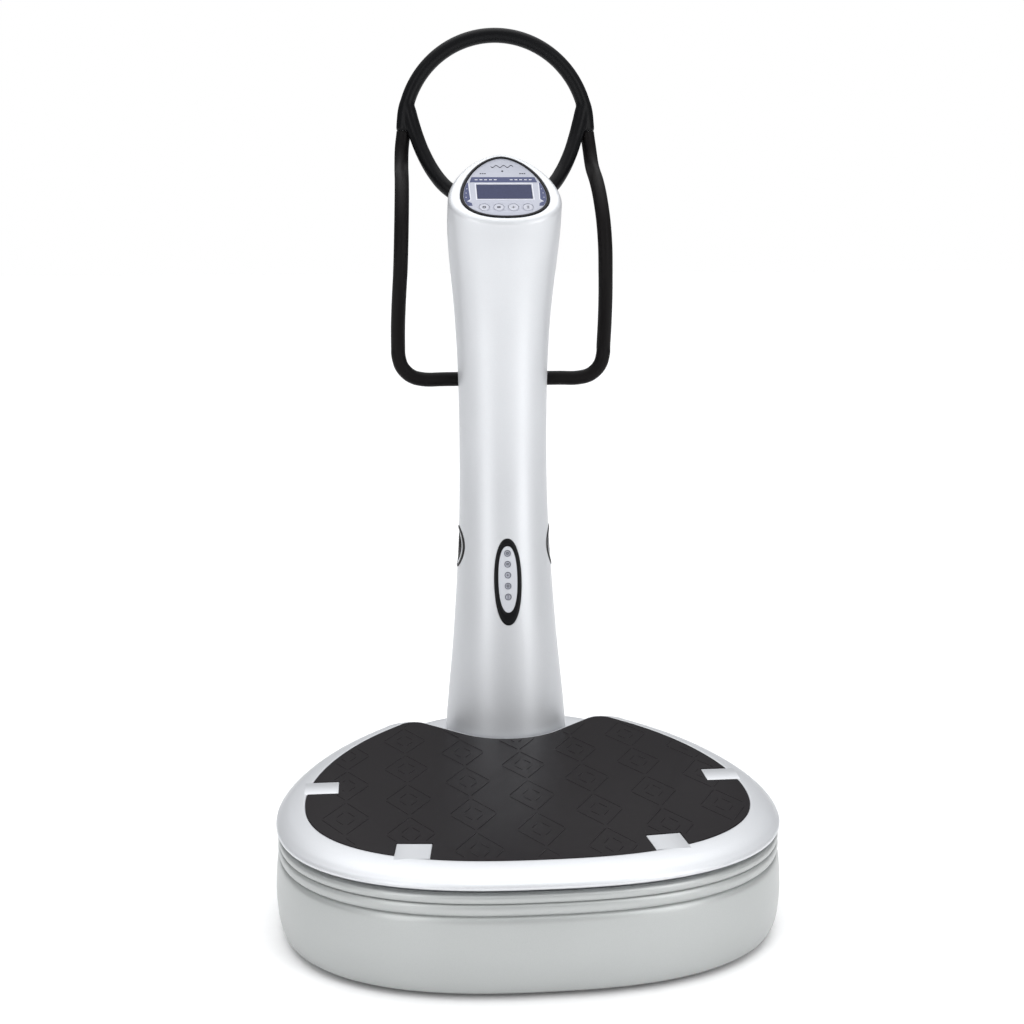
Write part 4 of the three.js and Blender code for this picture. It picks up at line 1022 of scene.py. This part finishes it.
# distance in from the speaker's edge and distance out from the column
SPEAKER_RING = [
    (0.3, -3.2), (0.3, 0.4), (0.6, 0.85), (1.4, 1.1), (3.6, 1.1), (4.4, 0.8), (4.7, 0.2), (4.9, -3.2),
]
SPEAKER_TRIM = [(5.1, -3.2), (5.1, 0.0), (5.5, 0.4), (8.2, 0.4), (8.7, 0.0), (8.9, -3.2)]
GRILLE_INSET = 9.0


def build_speakers():
    """A black ring, a silver ring and a ribbed dark grille, each following the column's side."""
    angles = full_turn(72)
    spoke = np.abs(np.sin(3 * angles)) < 0.09
    radius = SPEAKER_RADIUS - GRILLE_INSET
    for name, side in SIDES:
        ring, trim = [
            loft([on_side(side, angles, SPEAKER_RADIUS - inset, out) for inset, out in profile], closed=True)
            for profile in (SPEAKER_RING, SPEAKER_TRIM)
        ]
        piece(f"speaker_cover_{name}_ring", ring, "black_plastic", f"speaker_cover_{name}")
        piece(f"speaker_trim_{name}", trim, "silver_paint")
        rings = [on_side(side, angles, radius, -3.4)]
        for share in np.linspace(0, 1, GRILLE_RIBS * 8 + 1)[:-1]:
            ridge = 0.5 - 0.5 * math.cos(2 * math.pi * GRILLE_RIBS * share)
            height = np.where(spoke, -0.3, -1.9 + 1.6 * ridge ** 0.7)
            rings.append(on_side(side, angles, radius * (1 - share) + 0.3 * share, height))
        piece(f"speaker_grille_{name}", loft(rings), "black_plastic", angle=60)


# ---- keypad
KEY_FLANGE = 1.0


# a print is a thin raised shape in a plane, from a bottom to a top, which place turns into points
def flat_print(corners, bottom, top, place):
    corners = np.asarray(corners, float)
    return loft([
        place(corners[:, 0], corners[:, 1], np.full(len(corners), float(z))) for z in (bottom, top)
    ])


def dot(radius, x, y, bottom, top, place):
    """A small printed disc with a softened edge."""
    profile = [(0, bottom), (radius, bottom), (radius, top - 0.02), (radius - 0.05, top), (0, top)]
    return turned(profile, 20, lambda px, py, pz: place(px + x, py + y, pz))


def ring_print(outer, inner, x, y, bottom, top, place, sides=24):
    across, up = np.cos(full_turn(sides)), np.sin(full_turn(sides))
    return loft([
        place(radius * across + x, radius * up + y, np.full(sides, float(height)))
        for radius, height in ((outer, bottom), (outer, top), (inner, top), (inner, bottom))
    ], closed=True)


def bar_print(x0, y0, x1, y1, width, bottom, top, place):
    """A printed stroke between two points."""
    start, end = np.array([x0, y0], float), np.array([x1, y1], float)
    along = (end - start) / np.linalg.norm(end - start)
    across = np.array([-along[1], along[0]]) * width / 2
    return flat_print([start - across, end - across, end + across, start + across], bottom, top, place)


def key_mark(kind, size, height, place):
    """A generic mark for a key."""
    levels = height - 0.05, height + 0.1, place
    width = size * 0.28
    short = size * 0.8

    def strokes(*ends):
        return [bar_print(*points, width, *levels) for points in ends]

    if kind == "ring":
        marks = [ring_print(size, size * 0.55, 0, 0, *levels)]
    elif kind == "bars":
        marks = strokes(*[(-size, k, size, k) for k in (-size * 0.55, 0, size * 0.55)])
    elif kind == "cross":
        gap = width / 2 + 0.02
        marks = strokes((-size, 0, size, 0), (0, gap, 0, size), (0, -size, 0, -gap))
    elif kind == "ring and dot":
        marks = [ring_print(size, size * 0.6, 0, 0, *levels), dot(size * 0.26, 0, 0, *levels)]
    else:
        marks = strokes((-short, -short, short, -short), (-short, short, short, short),
                        (0, -size * 0.45, 0, size * 0.45))
    return joined(*marks)


def build_key(node, tilt_deg, kind, size, has_ring):
    """A round key with a softened edge and its mark, in the plane of its panel."""
    tilt = math.radians(tilt_deg)
    middle = centre(node)
    flange = half_span(node)
    radius = flange - KEY_FLANGE
    top = ((high(node)[2] - low(node)[2]) / 2 - flange * math.sin(tilt)) / math.cos(tilt)
    up = np.array([0, -math.sin(tilt), math.cos(tilt)])
    ahead = np.array([0, math.cos(tilt), math.sin(tilt)])

    def place(px, py, pz):
        return middle + np.outer(px, [1, 0, 0]) + np.outer(py, ahead) + np.outer(pz, up)

    profile = [
        (0, -top), (flange, -top), (flange, -top + 1), (radius, -top + 1), (radius, top - 0.55),
        (radius - 0.12, top - 0.25), (radius - 0.4, top - 0.05), (radius - 0.8, top),
        (radius - 1.5, top - 0.02), (radius * 0.5, top - 0.12), (0, top - 0.14),
    ]
    body = frame["nodes"][node]["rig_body"]
    piece(f"{node}_cap", turned(profile, 48, place), "key_plastic", node, body=body)
    marks = key_mark(kind, size, top, place)
    if has_ring:
        marks = joined(marks, ring_print(radius - 0.4, radius - 1, 0, 0, top - 0.3, top + 0.08, place, 36))
    piece(f"{node}_mark", marks, "black_gloss", body=body, look="print_dark", angle=30)


KEYPAD_MARKS = ("ring and dot", "bars", "cross", "ring and dot", "square")
KEYPAD_MARK_SIZE = 2.2


def build_keypad():
    outer, inner = oval_xy(KEYPAD_OVAL), oval_xy(KEYPAD_INSERT, exponent=2.3)
    profile = [
        (0, -4.6), (0, 0.5), (0.03, 0.95), (0.10, 1.35), (0.25, 1.7), (0.5, 1.85), (0.75, 1.7), (0.9, 1.35),
        (0.97, 0.95), (1, 0.6), (1, -4.6),
    ]
    rings = [on_front(outer * (1 - share) + inner * share, out) for share, out in profile]
    piece("keypad_bezel_ring", loft(rings, closed=True), "black_gloss", "keypad_bezel")
    profile = [(0.4, -2.4), (0.4, 0.3), (0.7, 0.51)] + [(inset, 0.6) for inset in (1.2, 2.5, 5, 8, 11, 13.2)]
    rings = [on_front(oval_xy(KEYPAD_INSERT, inset, 2.3), out) for inset, out in profile]
    fascia = make("keypad_fascia_panel", loft(rings), "keypad_panel")
    up = np.array([0, math.sin(KEYPAD_LEAN), math.cos(KEYPAD_LEAN)])
    out = np.array([0, -math.cos(KEYPAD_LEAN), math.sin(KEYPAD_LEAN)])
    for i in range(len(KEYPAD_MARKS)):
        node = f"keypad_key_{i + 1}"
        middle = np.array([0, *centre(node)[1:]])
        radius = half_span(node) - KEY_FLANGE + CLEARANCE
        u, v = radius * np.cos(full_turn(40)), radius * np.sin(full_turn(40))
        hole = [middle + np.outer(u, [1, 0, 0]) + np.outer(v, up) + reach * out for reach in (-12, 12)]
        combine(fascia, make("key_hole", loft(hole)))
    shade(fascia)
    finish_piece(fascia, "frame", "fascia_silver", "keypad_fascia")
    for i, mark in enumerate(KEYPAD_MARKS):
        build_key(f"keypad_key_{i + 1}", 90 - math.degrees(KEYPAD_LEAN), mark, KEYPAD_MARK_SIZE, True)


# ---- console
FASCIA_THICKNESS = 3.0
CONSOLE_MARKS = ("ring", "bars", "cross", "square")
CONSOLE_MARK_SIZE = 2.6
CONSOLE_KEY_Y = -25.0
LCD_HALF = np.array([41.0, 16.7])
LCD_Y = 11.5
PRINT_EDGE = BEZEL_WIDTH + 1  # how far inside the bezel's outline the prints end
PRINT_LOW, PRINT_HIGH = -0.06, 0.12
BAND_Y = (33.5, 46)
CRESCENT_Y = (-22, 32.3)
CRESCENT_INNER = [
    (53.5, 32.3), (53.2, 12), (52.2, -6), (54.5, -8.5), (56.5, -11.5), (50.5, -15.5), (49.5, -22),
]
WAVE = (17, 2.6, 0.9)  # half width, height and half thickness
WAVE_Y = 72.0


def lcd_corners(margin):
    half_x, half_y = LCD_HALF + margin
    return np.array([-1, 1, 1, -1]) * half_x, LCD_Y + np.array([-1, -1, 1, 1]) * half_y


def build_console():
    profile = [
        (-0.2, -5.2), (-0.2, 0.5), (0, 0.9), (0.4, 1.1), (1.2, 1.2), (2.6, 1.2), (3.4, 1.05), (3.9, 0.7),
        (BEZEL_WIDTH, 0.1), (BEZEL_WIDTH, -3.3), (BEZEL_WIDTH + 3.2, -3.3), (BEZEL_WIDTH + 3.2, -5.2),
    ]
    bezel = loft([head_ring(BEZEL, inset, lift) for inset, lift in profile], closed=True)
    piece("console_bezel_ring", bezel, "black_gloss", "console_bezel")

    edge = BEZEL_WIDTH + CLEARANCE
    profile = [(0, -FASCIA_THICKNESS), (0, -0.4), (0.12, -0.12), (0.4, 0)]
    panel = loft([head_ring(BEZEL, edge + inset, lift) for inset, lift in profile])
    fascia = make("console_fascia_panel", panel, "fascia_silver")
    combine(fascia, make("window_cut", loft([in_head(*lcd_corners(CLEARANCE), lift) for lift in (-8, 8)])))
    nodes = [f"console_key_{i + 1}" for i in range(len(CONSOLE_MARKS))]
    key_radius = half_span(nodes[0]) - KEY_FLANGE
    hole = key_radius + CLEARANCE
    for node in nodes:
        x = centre(node)[0]
        cutter = turned([(0, -8), (hole, -8), (hole, 8), (0, 8)], 48,
                        lambda px, py, pz: in_head(px + x, py + CONSOLE_KEY_Y, pz))
        combine(fascia, make("key_hole", cutter))
    bevelled(fascia, 0.25, 2, 50)
    finish_piece(fascia, "frame", "fascia_silver", "console_fascia")

    profile = [(0, -4.0), (0, -0.7), (0.25, -0.45), (2.2, -0.42)]
    glass = loft([in_head(*lcd_corners(-inset), lift) for inset, lift in profile])
    piece("console_lcd_window", glass, "display_glass", "console_lcd", angle=30)
    for node, mark in zip(nodes, CONSOLE_MARKS):
        build_key(node, HEAD_TILT, mark, CONSOLE_MARK_SIZE, False)
    build_console_prints([centre(node)[0] for node in nodes], key_radius)


def band_edge(y):
    """Half width of the printed area at a line across it."""
    end, power = ("rear", "rear_power") if y > 0 else ("front", "front_power")
    share = (abs(y) / (BEZEL[end] - PRINT_EDGE)) ** BEZEL[power]
    return (BEZEL["half_width"] - PRINT_EDGE) * (1 - share) ** (1 / BEZEL[power])


def build_console_prints(key_x, key_radius):
    """A navy band with pale dashes, a pale frame round the display, navy side crescents, dark small marks."""
    band = [(-min(band_edge(y), 60 - 0.27 * y), y) for y in np.linspace(*BAND_Y, 7)]
    band += [(-x, y) for x, y in band[::-1]]
    navy = [flat_print(band, PRINT_LOW, PRINT_HIGH, in_head)]
    for side in (-1, 1):
        outer = [(side * band_edge(y), y) for y in np.linspace(*CRESCENT_Y, 18)]
        inner = [(side * min(x, band_edge(y) - 0.6), y) for x, y in CRESCENT_INNER]
        navy.append(flat_print(outer + inner, PRINT_LOW, PRINT_HIGH, in_head))
    piece("console_print_navy", joined(*navy), "display_glass", look="print_navy", angle=30)

    pale = []

    def pale_bar(x0, y0, x1, y1, width, top):
        pale.append(bar_print(x0, y0, x1, y1, width, PRINT_LOW, top, in_head))

    width = 1.6
    (left, right, *_), (bottom, _, top, _) = lcd_corners(1.8)
    for y in (top, bottom):
        pale_bar(left - width / 2, y, right + width / 2, y, width, 0.22)
    for x in (left, right):
        pale_bar(x, bottom + width / 2 + 0.02, x, top - width / 2 - 0.02, width, 0.22)
    for side in (-1, 1):
        pale_bar(side * 52.4, 30.5, side * 51.4, -7, 1.3, 0.2)
        pale_bar(side * 51.4, -7.8, side * 56.6, -11.6, 1.3, 0.2)
        for k in range(5):
            x = side * (12 + 7.2 * k)
            pale_bar(x - 2.1, 39.6, x + 2.1, 39.6, 1.7, 0.18)
        for y in (18, 8, -2):
            pale.append(dot(0.8, side * (band_edge(y) - 3.4), y, PRINT_LOW, 0.18, in_head))
    piece("console_print_pale", joined(*pale), "fascia_silver", look="print_white", angle=30)

    half_width, height, thickness = WAVE
    wave = np.linspace(-half_width, half_width, 33)
    crest = WAVE_Y + height * np.sin(wave / half_width * 3 * math.pi)
    lower, upper = np.column_stack([wave, crest - thickness]), np.column_stack([wave, crest + thickness])
    dark = [flat_print(np.vstack([lower, upper[::-1]]), PRINT_LOW, PRINT_HIGH, in_head)]
    dark.append(dot(1.7, 0, 60.5, PRINT_LOW, PRINT_HIGH, in_head))
    for side in (-1, 1):
        for k in (-1, 0, 1):
            x = side * 30 + k * 3.4
            dark.append(bar_print(x - 1.2, 54.5, x + 1.2, 54.5, 2.0, PRINT_LOW, PRINT_HIGH, in_head))
    piece("console_print_dark", joined(*dark), "black_gloss", look="print_dark", angle=30)

    rims = [ring_print(key_radius + 1.7, key_radius + 0.75, x, CONSOLE_KEY_Y, -0.05, 0.3, in_head, 48)
            for x in key_x]
    piece("console_key_rims", joined(*rims), "fascia_silver", angle=30)


# ---- mains inlet
def refined_copy(node):
    """The CAD node's own shape with its edges rounded."""
    source = frame["nodes"][node]
    obj = add_object(f"{node}_moulding", source.data.copy())
    build = bmesh.new()
    build.from_mesh(obj.data)
    bmesh.ops.remove_doubles(build, verts=build.verts, dist=1e-6)
    bmesh.ops.dissolve_limit(build, angle_limit=math.radians(1), verts=build.verts, edges=build.edges)
    build.to_mesh(obj.data)
    build.free()
    bevelled(obj, 0.5, 3, 35)
    slot = node_slot(node)
    obj.data.materials.clear()
    obj.data.materials.append(MATERIALS[slot])
    return finish_piece(obj, source["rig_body"], slot, node)


# ---- stage, lights and camera
FLOOR_HALF = 30.0


def build_stage():
    mesh = bpy.data.meshes.new("floor")
    corners = [(x * FLOOR_HALF, y * FLOOR_HALF, 0) for x, y in ((-1, -1), (1, -1), (1, 1), (-1, 1))]
    mesh.from_pydata(corners, [], [(0, 1, 2, 3)])
    floor = add_object("floor", mesh)
    mesh.materials.append(material("floor_paper", (0.97, 0.97, 0.97), 0.9, 0, 60, 0.01, 0.02, 0.1))


LIGHT_TARGET = Vector((0, 0, 0.5))
AREA_LIGHTS = (  # name, place, width and height, watts
    ("key_left", (-1.9, -2.6, 1.5), (1.0, 2.6), 32),
    ("key_right", (1.9, -2.3, 1.5), (1.0, 2.6), 38),
    ("back", (0, 2.8, 2.4), (2.6, 1.4), 6),
)


def build_lights():
    """A white studio: the surroundings light the object more softly than they look, and least from below."""
    world = bpy.data.worlds.new("studio")
    world.use_nodes = True
    tree = world.node_tree
    seen = tree.nodes["Background"]
    seen.inputs["Color"].default_value = (1, 1, 1, 1)
    seen.inputs["Strength"].default_value = 1
    coords = shader_node(tree, "ShaderNodeTexCoord")
    split = shader_node(tree, "ShaderNodeSeparateXYZ", (), ((0, coords.outputs["Generated"]),))
    height = shader_node(tree, "ShaderNodeMapRange", (("From Max", 0.78), ("To Min", 0.03), ("To Max", 0.78)),
                         (("Value", split.outputs["Z"]),))
    lighting = shader_node(tree, "ShaderNodeBackground", (("Color", (0.97, 0.98, 1, 1)),),
                           (("Strength", height.outputs["Result"]),))
    rays = shader_node(tree, "ShaderNodeLightPath")
    mix = shader_node(tree, "ShaderNodeMixShader", (), (
        ("Fac", rays.outputs["Is Camera Ray"]), (1, lighting.outputs[0]), (2, seen.outputs[0]),
    ))
    tree.links.new(mix.outputs["Shader"], tree.nodes["World Output"].inputs["Surface"])
    bpy.context.scene.world = world
    bpy.context.scene.view_settings.view_transform = "Standard"
    for name, place, size, power in AREA_LIGHTS:
        light = bpy.data.lights.new(name, "AREA")
        light.shape = "RECTANGLE"
        light.size, light.size_y = size
        light.energy = power
        obj = add_object(name, light)
        obj.location = place
        obj.rotation_euler = (LIGHT_TARGET - Vector(place)).to_track_quat("-Z", "Y").to_euler()
    sky = bpy.data.lights.new("sky", "SUN")
    sky.energy = 1.8
    sky.angle = math.radians(70)
    add_object("sky", sky).rotation_euler = (math.radians(-8), 0, 0)


CAMERA_PLACE = (-0.20315, -2.11001, 0.94032)
CAMERA_YAW = math.radians(5.24)
CAMERA_PITCH = math.radians(10.53)
CAMERA_ROLL = math.radians(-0.19)
CAMERA_LENS = 53.74


def build_camera():
    data = bpy.data.cameras.new("camera")
    data.sensor_width = 36
    data.lens = CAMERA_LENS
    camera = add_object("camera", data)
    ahead = Vector((
        math.sin(CAMERA_YAW) * math.cos(CAMERA_PITCH), math.cos(CAMERA_YAW) * math.cos(CAMERA_PITCH),
        -math.sin(CAMERA_PITCH),
    ))
    level_right = Vector((math.cos(CAMERA_YAW), -math.sin(CAMERA_YAW), 0))
    level_up = level_right.cross(ahead)
    right = level_right * math.cos(CAMERA_ROLL) + level_up * math.sin(CAMERA_ROLL)
    up = level_up * math.cos(CAMERA_ROLL) - level_right * math.sin(CAMERA_ROLL)
    camera.matrix_world = Matrix((
        (right.x, up.x, -ahead.x, CAMERA_PLACE[0]),
        (right.y, up.y, -ahead.y, CAMERA_PLACE[1]),
        (right.z, up.z, -ahead.z, CAMERA_PLACE[2]),
        (0, 0, 0, 1),
    ))
    bpy.context.scene.camera = camera


build_camera()
build_stage()
build_lights()
finish_carried_nodes()
build_housing()
build_pan()
build_feet()
build_rear_cover()
build_deck()
build_mat()
build_handles()
build_column()
build_speakers()
build_keypad()
build_console()
refined_copy("power_inlet")
refined_copy("power_switch")
